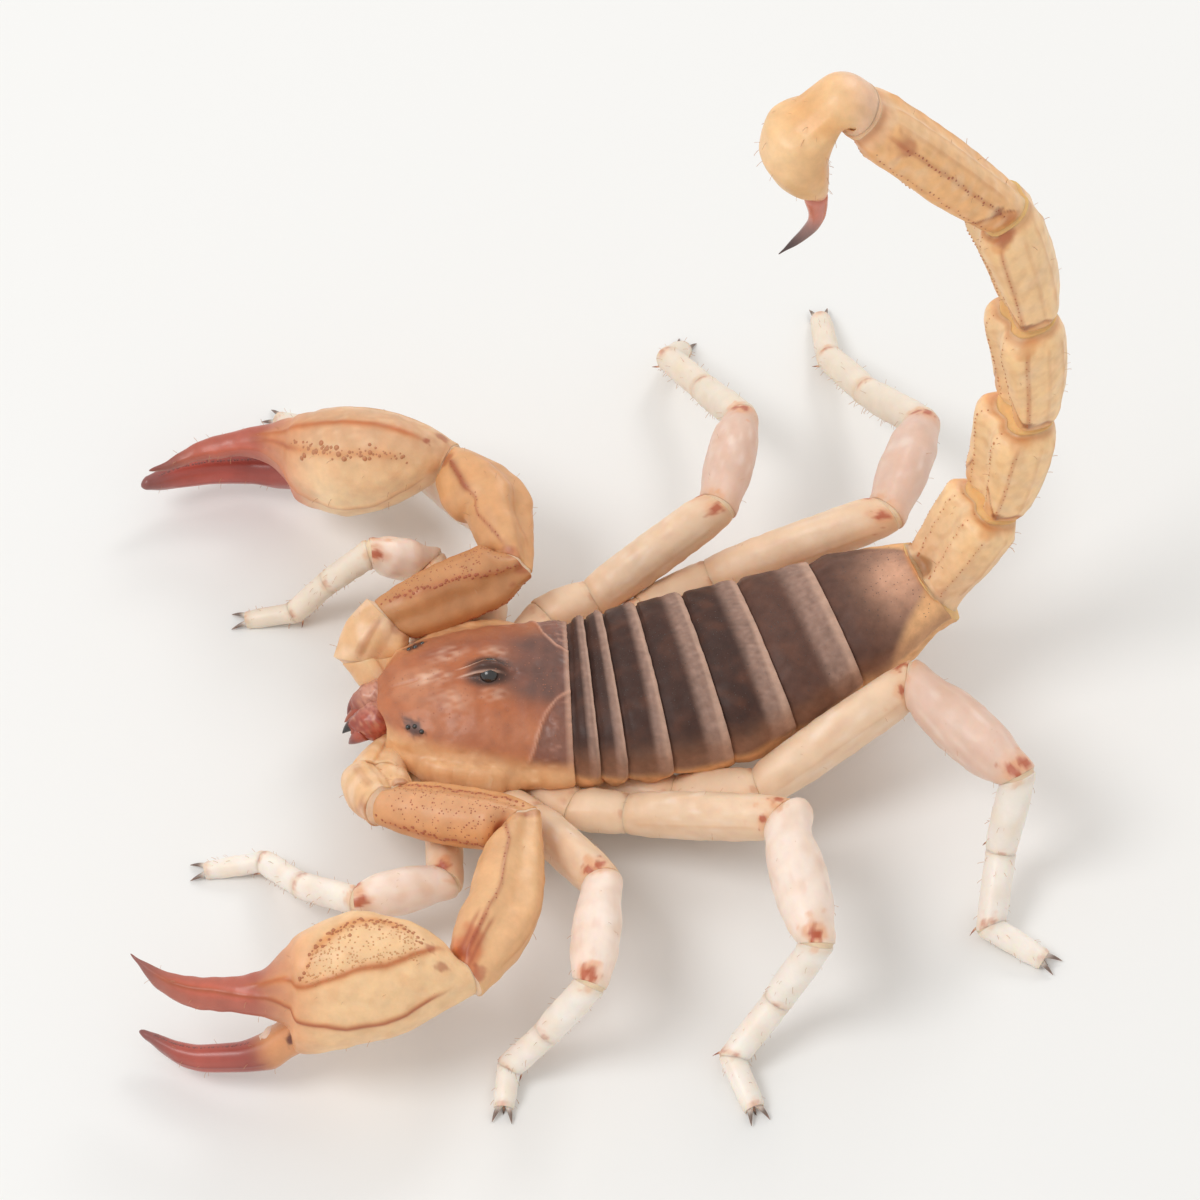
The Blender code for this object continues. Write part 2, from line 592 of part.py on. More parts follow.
def digit_rings(wrist, frame, stations, opening=0.0):
    """Rings of the palm or a finger, turned about the finger's pivot by its opening."""
    along, toward_finger, inward = frame
    rings = []
    pivot_s, pivot_d = FINGER_PIVOT
    for place, depth_shift, inner_shift, half_depth, half_width in stations:
        run = place - pivot_s
        fall = depth_shift - pivot_d
        turned_s = pivot_s + run * math.cos(opening) - fall * math.sin(opening)
        turned_d = pivot_d + run * math.sin(opening) + fall * math.cos(opening)
        centre = wrist + along * turned_s + toward_finger * turned_d + inward * inner_shift
        across = toward_finger * math.cos(opening) - along * math.sin(opening)
        ring = [centre + inward * (x * half_width) - across * (y * half_depth)
                for x, y in PALM_OUTLINE]
        rings.append(ring)
    return rings


def build_pedipalp(prosoma, side_name, places):
    """Coxa with trochanter, femur, patella, palm with fixed finger, and movable finger."""
    joints = [Vector(place) for place in places]
    wrist, end = joints[5], joints[6]
    up = Vector((0.0, 0.0, 1.0))
    sizes = [(*pair, pair[1]) for pair in PEDIPALP_JOINTS] + [(1.0, 1.0, 1.0)]
    stations = [COXA_STATIONS, TROCHANTER_STATIONS, PALP_FEMUR_STATIONS, *PALP_PATELLA_STATIONS, ()]
    parts = (("trochanter", 0, 1), ("femur", 2, 2), ("patella", 3, 4))
    parent = prosoma
    for part, first, last in parts:
        name = f"pedipalp_{side_name}_{part}"
        rings = chain_rings(joints, up, PALP_OUTLINE, sizes, stations, first, last)
        parent = add_piece(name, tube_mesh(name, rings), joints[first], parent, "claw")
    frame = claw_frame(wrist, end, side_name)
    rings = digit_rings(wrist, frame, PALM_STATIONS)
    axes = chain_axes(joints, up)
    middle, normal = joint_planes(joints, axes)[5]
    meeting = (middle + normal * (GAP / 2), normal)
    far = (end, frame[0])
    rings[0] = onto_plane(rings[0], frame[0], *meeting)
    rings[1] = keep_between(rings[1], frame[0], meeting, far, 0.2)
    name = f"pedipalp_{side_name}_palm"
    palm = add_piece(name, tube_mesh(name, rings), wrist, parent, "claw")
    name = f"pedipalp_{side_name}_movable_finger"
    rings = digit_rings(wrist, frame, FINGER_STATIONS, CLAW_OPENING[side_name])
    pivot = wrist + frame[0] * FINGER_PIVOT[0] + frame[1] * FINGER_PIVOT[1]
    add_piece(name, tube_mesh(name, rings), pivot, palm, "finger")


# ---------------------------------------------------------------- legs
def build_foot(name, joints, up, sizes, stations):
    """Tibia, both tarsi and two toe claws in one piece, with a flat sole on the floor."""
    rings = chain_rings(joints, up, LEG_OUTLINE, sizes, stations, 4, 6)
    along, side, _ = chain_axes(joints, up)[6]
    lift = Vector((0.0, 0.0, 1.0))
    prongs = []
    for outward in (1.0, -1.0):
        spread = side * (0.2 * outward)
        first, second, third = TOE_CLAW
        prongs.append([(along * first + spread + lift * 0.12, 0.62),
                       (along * second - lift * 0.1, 0.62),
                       (along * third - lift * 0.22, 0.5)])
    mesh = forked_tube(name, rings, prongs)
    bmesh.ops.bisect_plane(mesh, geom=mesh.verts[:] + mesh.edges[:] + mesh.faces[:],
                           plane_co=(0.0, 0.0, 0.0), plane_no=(0.0, 0.0, 1.0), clear_inner=True)
    bmesh.ops.holes_fill(mesh, edges=mesh.edges[:])
    bmesh.ops.recalc_face_normals(mesh, faces=mesh.faces)
    return mesh


def build_leg(prosoma, leg_name, places):
    """One leg: coxa to femur, patella, and tibia to toe claws."""
    side = 1.0 if leg_name[0] == "L" else -1.0
    number = int(leg_name[1])
    root_y, root_side = COXA_ROOTS[number]
    joints = [beside_trunk(root_y, root_side * side, COXA_ROOT_HEIGHT)]
    joints += [Vector(place) for place in places]
    joints[-1].z = LEG_JOINTS[-1][1] * LEG_SCALE[number] - FLOOR_BITE
    scale = LEG_SCALE[number]
    sizes = [(wide * scale, tall * scale, tall * scale) for wide, tall in LEG_JOINTS]
    sizes[0] = (*LEG_JOINTS[0], LEG_JOINTS[0][1])
    stations = []
    for rows in (LEG_COXA_STATIONS, LEG_TROCHANTER_STATIONS, LEG_FEMUR_STATIONS,
                 LEG_PATELLA_STATIONS, LEG_TIBIA_STATIONS, LEG_BASITARSUS_STATIONS,
                 LEG_TELOTARSUS_STATIONS):
        stations.append([(share, wide * scale, tall * scale) for share, wide, tall in rows])
    stations[0] = LEG_COXA_STATIONS
    up = Vector((0.0, 0.0, 1.0))
    name = f"leg_{leg_name}_femur"
    rings = chain_rings(joints, up, LEG_OUTLINE, sizes, stations, 0, 2)
    femur = add_piece(name, tube_mesh(name, rings), joints[0], prosoma, "leg")
    name = f"leg_{leg_name}_patella"
    rings = chain_rings(joints, up, LEG_OUTLINE, sizes, stations, 3, 3)
    patella = add_piece(name, tube_mesh(name, rings), joints[3], femur, "leg")
    name = f"leg_{leg_name}_foot"
    mesh = build_foot(name, joints, up, sizes, stations)
    add_piece(name, mesh, joints[4], patella, "leg")


def main():
    for old in list(bpy.data.objects):
        bpy.data.objects.remove(old, do_unlink=True)
    root = bpy.data.objects.new("scorpion", None)
    bpy.context.scene.collection.objects.link(root)
    root.location = CENTRING * MM
    root["joint"] = [0.0, 0.0, 0.0]
    pieces = build_trunk(root)
    build_telson(pieces["metasoma_5"])
    prosoma = pieces["prosoma"]
    build_eyes(prosoma)
    build_chelicerae(prosoma)
    build_underside(pieces)
    build_pedipalp(prosoma, "L", PEDIPALP_L)
    build_pedipalp(prosoma, "R", PEDIPALP_R)
    for leg_name, places in LEGS.items():
        build_leg(prosoma, leg_name, places)


if __name__ == "__main__":
    main()
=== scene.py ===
"""Looks of a desert scorpion, a life-size still model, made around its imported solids.

Every shell piece is grown from the section corners of its CAD solid: a smooth grid of rows along the
piece and columns round it, which then gets its lips, keels, colours and markings. Inside this file
lengths are millimetres, which become metres when a mesh is made, and angles round a shell are degrees.
"""

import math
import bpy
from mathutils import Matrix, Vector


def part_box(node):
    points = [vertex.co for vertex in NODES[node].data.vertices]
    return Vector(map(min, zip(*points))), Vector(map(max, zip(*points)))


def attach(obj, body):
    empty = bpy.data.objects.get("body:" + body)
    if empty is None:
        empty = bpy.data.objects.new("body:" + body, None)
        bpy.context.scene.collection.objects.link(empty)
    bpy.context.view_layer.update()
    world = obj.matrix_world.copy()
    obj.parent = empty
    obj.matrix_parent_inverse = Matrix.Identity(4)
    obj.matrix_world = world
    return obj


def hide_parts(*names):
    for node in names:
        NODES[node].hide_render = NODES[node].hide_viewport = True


bl_info = {
    "name": "Desert Scorpion",
    "version": (1, 0, 0),
    "blender": (4, 5, 0),
    "location": "3D View > Sidebar > Scorpion",
    "description": "Builds a desert scorpion's shell, joints, granules and hairs around its solids",
    "category": "Add Mesh",
}

import bmesh
import bpy
import numpy as np
from bpy.props import FloatProperty, FloatVectorProperty, PointerProperty
from mathutils import Vector

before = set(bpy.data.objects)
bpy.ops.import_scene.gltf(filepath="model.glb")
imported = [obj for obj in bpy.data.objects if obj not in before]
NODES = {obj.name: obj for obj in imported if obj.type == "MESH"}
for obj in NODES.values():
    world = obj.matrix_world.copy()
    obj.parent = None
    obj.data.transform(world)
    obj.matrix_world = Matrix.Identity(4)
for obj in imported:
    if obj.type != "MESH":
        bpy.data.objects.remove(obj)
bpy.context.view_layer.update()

MM = 0.001
BODY = "root"
UP = np.array((0.0, 0.0, 1.0))
SIDES = {"L": 1.0, "R": -1.0}
BOTH = tuple(SIDES.values())
END_CORNERS = 7      # a flat end of a solid has at least as many corners
SHELLS = {}          # the shells built so far, which granules and hairs grow from


# ---------------------------------------------------------------- colours
def srgb(code):
    """Linear colour from an sRGB hex code. A colour that is linear already is passed on."""
    if not isinstance(code, str):
        return code
    channels = np.array([int(code[index:index + 2], 16) for index in (1, 3, 5)]) / 255.0
    return np.where(channels <= 0.04045, channels / 12.92, ((channels + 0.055) / 1.055) ** 2.4)


STRAW_DEEP = "#cf8f5c"
STRAW_PALE = "#f3d2a8"
KEEL = "#b9622f"
RUST = "#a34c2c"                 # granules and keels
SPOT = "#b4522f"                 # hinges of the legs
HALO = "#e3a274"                 # round those
PALE_LEG = "#eccdae"             # thighs
PINK_LEG = "#f8e4d6"             # knees' swollen segment
DUSK = "#62463f"                 # behind the eyes
BROW = "#e6bfab"
PLEURA = "#e5b17f"               # skin along the flank
BELLY = "#d8ad84"
FINGER = "#a34c40"
FINGER_TIP = "#7f4f4b"
BLACK = "#15100e"
SKIN = "#f0cfae"                 # soft skin in the joints
# Ground colours that the sidebar can change.
TONES = {"carapace": "#b0653f", "plate": "#432a22", "band": "#a38476", "tail": "#fad09b",
         "claw": "#efc08c", "finger": FINGER, "feet": "#f4ebe1"}


# ---------------------------------------------------------------- smooth curves
def eased(value, low, high):
    """0 below low, 1 above high, with a smooth rise between."""
    share = np.clip((value - low) / (high - low), 0.0, 1.0)
    return share * share * (3.0 - 2.0 * share)


def faded(value, low, high):
    """1 below low, 0 above high."""
    return 1.0 - eased(value, low, high)


def bump(value, centre, width):
    """A bell of height 1."""
    return np.exp(-((value - centre) / width) ** 2)


def around(angle):
    """An angle brought between -180 and 180."""
    return (angle + 180.0) % 360.0 - 180.0


def curve_through(knots, values, slopes, at):
    """A curve through values at knots, with those slopes, read at other places."""
    index = np.clip(np.searchsorted(knots, at, side="right") - 1, 0, len(knots) - 2)
    span = (knots[index + 1] - knots[index])[:, None]
    share = (at - knots[index])[:, None] / span
    square = share * share
    cube = square * share
    return (values[index] * (2.0 * cube - 3.0 * square + 1.0)
            + values[index + 1] * (3.0 * square - 2.0 * cube)
            + slopes[index] * span * (cube - 2.0 * square + share)
            + slopes[index + 1] * span * (cube - square))


def calm_slopes(knots, values):
    """Slopes for a curve that never swings past its own knots."""
    step = np.diff(knots)[:, None]
    rise = np.diff(values, axis=0) / step
    before, after = rise[:-1], rise[1:]
    weight_before = 2.0 * step[1:] + step[:-1]
    weight_after = step[1:] + 2.0 * step[:-1]
    with np.errstate(divide="ignore", invalid="ignore"):
        middle = (weight_before + weight_after) / (weight_before / before + weight_after / after)
    middle = np.where(before * after > 0.0, middle, 0.0)
    return np.concatenate((rise[:1], middle, rise[-1:]))


def lengths(path):
    """How far along a path each of its points lies."""
    return np.concatenate(([0.0], np.cumsum(np.linalg.norm(np.diff(path, axis=0), axis=1))))


WAVE_COUNT = 9
WAVE_HEIGHT = 4.2    # about twice the usual height of so many waves together


def waves(points, size, seed):
    """Gentle unevenness of about -1 to 1, with swellings of a given size."""
    draw = np.random.default_rng(seed)
    total = np.zeros(points.shape[:-1])
    for _ in range(WAVE_COUNT):
        heading = draw.normal(size=3)
        heading *= math.tau / (np.linalg.norm(heading) * size * draw.uniform(0.7, 1.6))
        total += np.sin(points @ heading + draw.uniform(0.0, math.tau))
    return total / WAVE_HEIGHT


# ---------------------------------------------------------------- vectors and the solids' corners
def unit(vector):
    return vector / np.linalg.norm(vector)


def units(vectors):
    return vectors / np.linalg.norm(vectors, axis=1, keepdims=True)


def square_to(axis, up):
    """The part of up that is square to the axis, as a unit vector."""
    return unit(up - axis * np.dot(up, axis))


def carried(axis_before, axis_after, up):
    """An up vector turned as one axis turns into the next."""
    turn = Vector(axis_before).rotation_difference(Vector(axis_after))
    return square_to(axis_after, np.array(turn @ Vector(up)))


def box_of(node):
    """Low corner, high corner and middle of a CAD node."""
    low, high = (np.array(corner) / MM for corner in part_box(node))
    return low, high, (low + high) / 2


def sections(node, neighbour, belly=True):
    """Corners of a CAD tube, section by section from its end at a neighbour.

    Without the belly, the corners straight below each section's middle are left out.
    """
    mesh = bmesh.new()
    mesh.from_mesh(NODES[node].data)
    bmesh.ops.remove_doubles(mesh, verts=mesh.verts, dist=1e-6)
    bmesh.ops.dissolve_limit(mesh, angle_limit=math.radians(0.3), verts=mesh.verts, edges=mesh.edges)
    target = Vector(box_of(neighbour)[2] * MM)
    ends = [face for face in mesh.faces if len(face.verts) >= END_CORNERS]
    level = set(min(ends, key=lambda face: (face.calc_center_median() - target).length).verts)
    seen = set()
    found = []
    while level:
        seen |= level
        corners = np.array([vertex.co[:] for vertex in level]) / MM
        if not belly:
            offset = corners - corners.mean(0)
            corners = corners[np.hypot(offset[:, 0], offset[:, 1]) > -0.4 * offset[:, 2]]
        found.append(corners)
        level = {edge.other_vert(vertex) for vertex in level for edge in vertex.link_edges} - seen
    mesh.free()
    return found


def axis_between(first, last):
    return unit(last.mean(0) - first.mean(0))


# ---------------------------------------------------------------- shells
class Shell:
    """A piece of shell as rows of points along it and columns round it.

    reach is each row's distance from the start and share the same from 0 to 1. angle is each column's
    place from the back, positive toward the cross product of the axis and the up vector.
    """

    def __init__(self, points, reach, axis, up, colour):
        columns = points.shape[1]
        self.points = points
        self.reach = reach[:, None]
        self.share = (self.reach - self.reach[0]) / (self.reach[-1] - self.reach[0])
        self.angle = around(np.arange(columns) * 360.0 / columns)[None, :]
        self.axis = axis
        self.up = up
        self.tint = np.ones(points.shape) * srgb(colour)
        self.gloss = np.full(points.shape[:2], 0.5)
        centres = points.mean(1, keepdims=True)
        self.radius = np.linalg.norm(points - centres, axis=2).mean(1, keepdims=True)

    def normals(self):
        along = np.gradient(self.points, axis=0)
        across = np.roll(self.points, -1, axis=1) - np.roll(self.points, 1, axis=1)
        normal = np.cross(across, along)
        return normal / np.maximum(np.linalg.norm(normal, axis=2, keepdims=True), 1e-9)

    def lift(self, height):
        """Raise or sink the surface by a height."""
        self.points = self.points + self.normals() * height[..., None]

    def shift(self, weight, way):
        """Move the surface along a vector."""
        self.points = self.points + np.asarray(weight)[..., None] * way

    def paint(self, *coats):
        """Coats of paint in order, each a colour and its strength at every point."""
        for colour, weight in coats:
            weight = np.clip(weight, 0.0, 1.0)[..., None]
            self.tint = self.tint + (srgb(colour) - self.tint) * weight

    def cloud(self, size, seed, stretch=1.0):
        """Unevenness over the shell."""
        return waves(self.points * stretch, size, seed)

    def mottle(self, *patches):
        """Cloudy patches of other colours, each a size, a colour, a strength and a seed."""
        for size, colour, strength, seed in patches:
            self.paint((colour, strength * eased(self.cloud(size, seed), -0.2, 1.0)))

    def beside(self, angle):
        """Distance of every point from a line along the shell, whose angle may change along it."""
        if not np.isscalar(angle):
            angle = np.interp(self.share, *zip(*angle))
        return np.radians(around(self.angle - angle)) * self.radius

    def turned(self, angle, width):
        """A bell round the shell, centred on an angle, with a width in degrees."""
        return bump(around(self.angle - angle), 0.0, width)

    def away(self, share, angle, stretch=1.0):
        """Distance of every point from a place, or less of it along a stretched shell."""
        along = (self.share - share) * self.reach[-1] / stretch
        return np.hypot(along, self.beside(angle))

    def between(self, start, end, fade=0.08):
        return eased(self.share, start, start + fade) * faded(self.share, end - fade, end)

    def facing(self, *heading):
        """How squarely each point faces a direction, from 0 to 1."""
        return np.clip(self.normals() @ unit(np.array(heading)), 0.0, 1.0)

    def at(self, share, angle):
        """Points, outward directions and colours at places on the shell."""
        rows, columns = self.points.shape[:2]
        row = np.clip(np.round(np.asarray(share) * (rows - 1)).astype(int), 0, rows - 1)
        column = np.round(np.asarray(angle) / 360.0 * columns).astype(int) % columns
        return self.points[row, column], self.normals()[row, column], self.tint[row, column]


def round_section(corners, axis, up, columns):
    """A section's corners resampled as a smooth closed curve that passes through them."""
    centre = corners.mean(0)
    offsets = corners - centre
    angles = np.arctan2(offsets @ np.cross(axis, up), offsets @ up) % math.tau
    order = np.argsort(angles)
    angles = angles[order]
    offsets = offsets[order]
    knots = np.concatenate((angles[-3:] - math.tau, angles, angles[:3] + math.tau))
    values = np.concatenate((offsets[-3:], offsets, offsets[:3]))
    slopes = np.gradient(values, knots, axis=0)
    return centre + curve_through(knots, values, slopes, np.arange(columns) * math.tau / columns)


def grow(rings, axes, ups, spacing, colour, trim=(0.0, 0.0)):
    """A shell through sections of corners, with an axis and an up vector for each section."""
    girth = max(np.linalg.norm(ring - ring.mean(0), axis=1).mean() for ring in rings) * math.tau
    columns = max(24, 2 * round(girth / spacing / 2))
    rounded = np.array([round_section(ring, axis, up, columns)
                        for ring, axis, up in zip(rings, axes, ups)])
    centres = np.array([ring.mean(0) for ring in rings])
    knots = lengths(centres)
    axis = unit(centres[-1] - centres[0])
    up = square_to(axis, ups[0])
    basis = np.array((np.cross(axis, up), up, axis))
    flat = ((rounded - centres[0]) @ basis.T).reshape(len(rings), -1)
    count = max(8, round((knots[-1] - sum(trim)) / spacing))
    reach = np.linspace(trim[0], knots[-1] - trim[1], count + 1)
    rows = curve_through(knots, flat, calm_slopes(knots, flat), reach).reshape(count + 1, columns, 3)
    return Shell(rows @ basis + centres[0], reach, axis, up, colour)


def straight(rings, up, spacing, colour, trim=(0.0, 0.0)):
    """A shell whose sections all lie square to one axis, or are cut aslant at its ends."""
    axis = axis_between(rings[0], rings[-1])
    up = square_to(axis, up)
    return grow(rings, [axis] * len(rings), [up] * len(rings), spacing, colour, trim)


# Rolled ends of a shell: size against its last row, and how far past it.
POINT = ((0.88, 0.14), (0.68, 0.3), (0.45, 0.42), (0.22, 0.5), (0.05, 0.52))
LIP = ((0.99, 0.05), (0.955, 0.085), (0.9, 0.09), (0.8, 0.03), (0.7, -0.12))
TUCK = ((0.985, 0.2), (0.965, 0.4), (0.93, 0.52), (0.8, 0.52))
EDGE = ((0.997, 0.04), (0.985, 0.07), (0.965, 0.05), (0.94, -0.1), (0.85, -0.15))


def lipped(shell, start=LIP, end=LIP):
    """Rows of a shell with a rolled lip added at each end: points, tints and gloss."""
    grids = [[values] for values in bare(shell)]
    for lip, place in ((start, 0), (end, -1)):
        edge = shell.points[place]
        centre = edge.mean(0)
        outward = unit(np.cross(edge - centre, np.roll(edge, -1, axis=0) - centre).sum(0))
        outward = outward * np.sign(outward @ shell.axis) * (-1.0 if place == 0 else 1.0)
        if lip is POINT:
            outward = unit(centre - shell.points[-6].mean(0))
        rows = [centre + (edge - centre) * size + outward * shift for size, shift in lip]
        # Each added row is a little darker than the one before it: painted shade on the lip as it rolls
        # in.
        shade = [shell.tint[place] * (1.0 - 0.05 * step) for step in range(len(lip))]
        extra = (rows, shade, [shell.gloss[place]] * len(lip))
        for grid, values in zip(grids, extra):
            if place == 0:
                grid.insert(0, values[::-1])
            else:
                grid.append(values)
    return [np.concatenate(grid) for grid in grids]


def limb(path, sizes, up, colour, columns=24, rows=24):
    """A shell of oval sections along a path, each size a half width and a half height."""
    path = np.array(path, float)
    sizes = np.array(sizes, float)
    knots = lengths(path)
    reach = np.linspace(0.0, knots[-1], rows)
    centres = curve_through(knots, path, np.gradient(path, knots, axis=0), reach)
    spread = curve_through(knots, sizes, calm_slopes(knots, sizes), reach)
    axes = np.gradient(centres, axis=0)
    sides = units(np.cross(axes, up))
    tops = units(np.cross(sides, axes))
    turn = (np.arange(columns) * math.tau / columns)[None, :, None]
    points = (centres[:, None] + np.cos(turn) * (tops * spread[:, 1:])[:, None]
              + np.sin(turn) * (sides * spread[:, :1])[:, None])
    return Shell(points, reach, unit(path[-1] - path[0]), np.array(up, float), colour)


def horn(base, heading, bend, length, radius, colour, tip_colour, columns=10):
    """A curved claw that tapers to a point, in two colours."""
    steps = (0.0, 0.25, 0.5, 0.75, 0.93, 1.0)
    path = [base + (unit(heading) * step + unit(bend) * 0.45 * step * step) * length for step in steps]
    sizes = [(radius * max(0.06, (1.0 - step) ** 0.7),) * 2 for step in steps]
    shape = limb(path, sizes, unit(bend), colour, columns, 14)
    shape.paint((tip_colour, eased(shape.share, 0.15, 0.6)))
    shape.gloss += 0.3
    return bare(shape)


def ball(centre, radius, steps, least, columns, rows):
    """A black globe of rings at steps from its middle."""
    path = [centre + np.array((0.0, step, 0.0)) * radius for step in steps]
    sizes = [(radius * math.sqrt(max(least, 1.0 - step * step)),) * 2 for step in steps]
    return bare(limb(path, sizes, UP, BLACK, columns, rows))


def bare(shell):
    return shell.points, shell.tint, shell.gloss


SKIN_ROWS = 13
SKIN_COLUMNS = 36


def joint_skin(first, second, size=0.9, swell=0.0, colour=SKIN):
    """Soft skin from inside the end of one shell to inside the start of the next."""
    def ring(edge, scale):
        centre = edge.mean(0)
        return centre + (edge[np.arange(SKIN_COLUMNS) * len(edge) // SKIN_COLUMNS] - centre) * scale

    before = ring(first.points[-1], size)
    after = ring(second.points[0], size)
    rolls = [np.roll(after, turn, axis=0) for turn in range(SKIN_COLUMNS)]
    best = int(np.argmin([np.square(before - rolled).sum() for rolled in rolls]))
    middle = (before + rolls[best]) / 2
    middle = middle.mean(0) + (middle - middle.mean(0)) * (1.0 + swell)
    rows = (ring(first.points[-5], size * 0.85), before, middle, rolls[best],
            np.roll(ring(second.points[4], size * 0.85), best, axis=0))
    flat = np.array(rows).reshape(5, -1)
    fine = np.linspace(0.0, 4.0, SKIN_ROWS)
    points = curve_through(np.arange(5.0), flat, np.gradient(flat, axis=0), fine)
    points = points.reshape(SKIN_ROWS, SKIN_COLUMNS, 3)
    return points, np.ones(points.shape) * srgb(colour), np.full(points.shape[:2], 0.4)


def make_mesh(name, grids):
    """One closed mesh from grids of points, tints and gloss, each grid capped at both ends."""
    corners, tints, gloss, loops, sizes = [], [], [], [], []
    start = 0
    for points, tint, shine in grids:
        rows, columns = points.shape[:2]
        for store, values in ((corners, points), (tints, tint), (gloss, shine[..., None])):
            store += [values.reshape(rows * columns, -1), values[0].mean(0)[None],
                      values[-1].mean(0)[None]]
        index = np.arange(rows * columns).reshape(rows, columns) + start
        after = np.roll(index, -1, axis=1)
        first = start + rows * columns
        quads = np.stack((index[:-1], after[:-1], after[1:], index[1:]), axis=-1).reshape(-1)
        front = np.stack((after[0], index[0], np.full(columns, first)), axis=-1).reshape(-1)
        back = np.stack((index[-1], after[-1], np.full(columns, first + 1)), axis=-1).reshape(-1)
        loops += [quads, front, back]
        sizes += [np.full(len(quads) // 4, 4), np.full(2 * columns, 3)]
        start = first + 2
    loops = np.concatenate(loops).astype(np.int32)
    sizes = np.concatenate(sizes)
    data = bpy.data.meshes.new(name)
    data.vertices.add(start)
    fill(data.vertices, "co", np.concatenate(corners) * MM)
    data.loops.add(len(loops))
    data.loops.foreach_set("vertex_index", loops)
    data.polygons.add(len(sizes))
    starts = np.concatenate(([0], np.cumsum(sizes)[:-1])).astype(np.int32)
    data.polygons.foreach_set("loop_start", starts)
    data.update(calc_edges=True)
    data.shade_smooth()
    colour_points(data, np.concatenate(tints), np.concatenate(gloss))
    return data


def fill(store, field, values):
    store.foreach_set(field, np.asarray(values, np.float32).reshape(-1))


def colour_points(data, tints, gloss):
    """The attributes that every cuticle reads."""
    rgba = np.pad(np.clip(tints, 0.0, 1.0), ((0, 0), (0, 1)), constant_values=1.0)
    fill(data.attributes.new("tint", "FLOAT_COLOR", "POINT").data, "color", rgba)
    fill(data.attributes.new("gloss", "FLOAT", "POINT").data, "value", gloss)


def place(name, data, material, slot, *replaced):
    """Show a finished mesh as a piece on the body, in place of its CAD nodes."""
    old = bpy.data.objects.get(name)
    if old:
        bpy.data.objects.remove(old, do_unlink=True)
    data.materials.clear()
    data.materials.append(material)
    piece = bpy.data.objects.new(name, data)
    bpy.context.scene.collection.objects.link(piece)
    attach(piece, BODY)
    if replaced:
        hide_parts(*replaced)


def grid_piece(name, grids, material, slot, *replaced):
    place(name, make_mesh(name, grids), material, slot, *replaced)


def shell_piece(name, shells, material, slot, *replaced, start=LIP, end=LIP):
    grid_piece(name, [lipped(shell, start, end) for shell in shells], material, slot, *replaced)


# ---------------------------------------------------------------- markings and relief
def keels(shell, *lines):
    """Raised lines along a shell.

    Each has an angle or a list of them, a start, an end, a width, a height, a colour, its strength
    and, for a row of beads, their spacing.
    """
    for angle, start, end, width, height, colour, strength, *beads in lines:
        profile = bump(shell.beside(angle), 0.0, width) * shell.between(start, end)
        if beads:
            profile = profile * (0.55 + 0.45 * np.cos(shell.reach * (math.tau / beads[0])))
        shell.lift(profile * height)
        shell.paint((colour, profile * strength))


def blots(shell, *marks):
    """Soft-edged blotches, each a share, an angle, a width, a colour, a strength and a stretch."""
    for share, angle, width, colour, strength, *stretch in marks:
        away = shell.away(share, angle, *stretch) * (1.0 + 0.35 * shell.cloud(width * 1.1, 9))
        shell.paint((colour, strength * faded(away, width * 0.4, width)))


def joint_spot(shell, share, headings, colour, width, strength):
    """A blotch where two segments hinge, on the sides that face the headings."""
    ragged = 1.0 + 0.45 * shell.cloud(width * 1.2, 7)
    for heading in headings:
        flat = square_to(shell.axis, np.array(heading))
        angle = math.degrees(math.atan2(flat @ np.cross(shell.axis, shell.up), flat @ shell.up))
        away = shell.away(share, angle) * ragged
        shell.paint((colour, strength * faded(away, width * 0.45, width)))


# Granules by the piece they go in: points, directions, sizes and colours. The trunk's piece holds those
# of the palms and fingers too.
GRAINS = {}
HAIRS = {}           # the same for hairs, with each root's place in the bake map
HAIR_REACH = 0.95    # how far a hair's tip stands off, against its length
HAIR_DROOP = 0.3     # and how far it bends aside
MAP_CELLS = 8        # cells along each side of the hairs' bake map, one for a shell
MAP_PART = 0.1       # part of the map's side that a shell's hairs take up
MAP_EDGE = 0.012
GRAIN_SUNK = 0.25    # part of a granule's size that is below the surface
GRAIN_COLOUR = 0.75  # how far its colour is from the shell's to its own
ALL_ROUND = (-180, 180)


def grain_row(part, shell, angle, start, end, step, size, colour, jitter, seed):
    """A row of granules along a line on a shell."""
    draw = np.random.default_rng(seed)
    length = (end - start) * (shell.reach[-1, 0] - shell.reach[0, 0])
    count = max(2, round(length / step))
    shares = np.linspace(start, end, count) + draw.normal(0.0, 0.15, count) * (end - start) / count
    angles = np.full(count, angle) if np.isscalar(angle) else np.interp(shares, *zip(*angle))
    angles = angles + np.degrees(draw.normal(0.0, jitter, count) / shell.radius.mean())
    add_grains(part, shell, shares, angles, size * draw.uniform(0.65, 1.25, count), colour)


def grain_field(part, shell, shares, low, high, count, size, colour, seed):
    """Granules scattered over a part of a shell, between two lines of angles."""
    draw = np.random.default_rng(seed)
    along = draw.uniform(*shares, count)
    angles = draw.uniform(np.interp(along, *zip(*low)), np.interp(along, *zip(*high)))
    add_grains(part, shell, along, angles, size * draw.uniform(0.5, 1.2, count), colour)


def add_grains(part, shell, shares, angles, sizes, colour):
    points, facing, tints = shell.at(np.clip(shares, 0.0, 1.0), angles)
    colours = tints + (srgb(colour) - tints) * GRAIN_COLOUR
    points = points - facing * sizes[:, None] * GRAIN_SUNK
    GRAINS.setdefault(part, []).append((points, facing, sizes, colours))


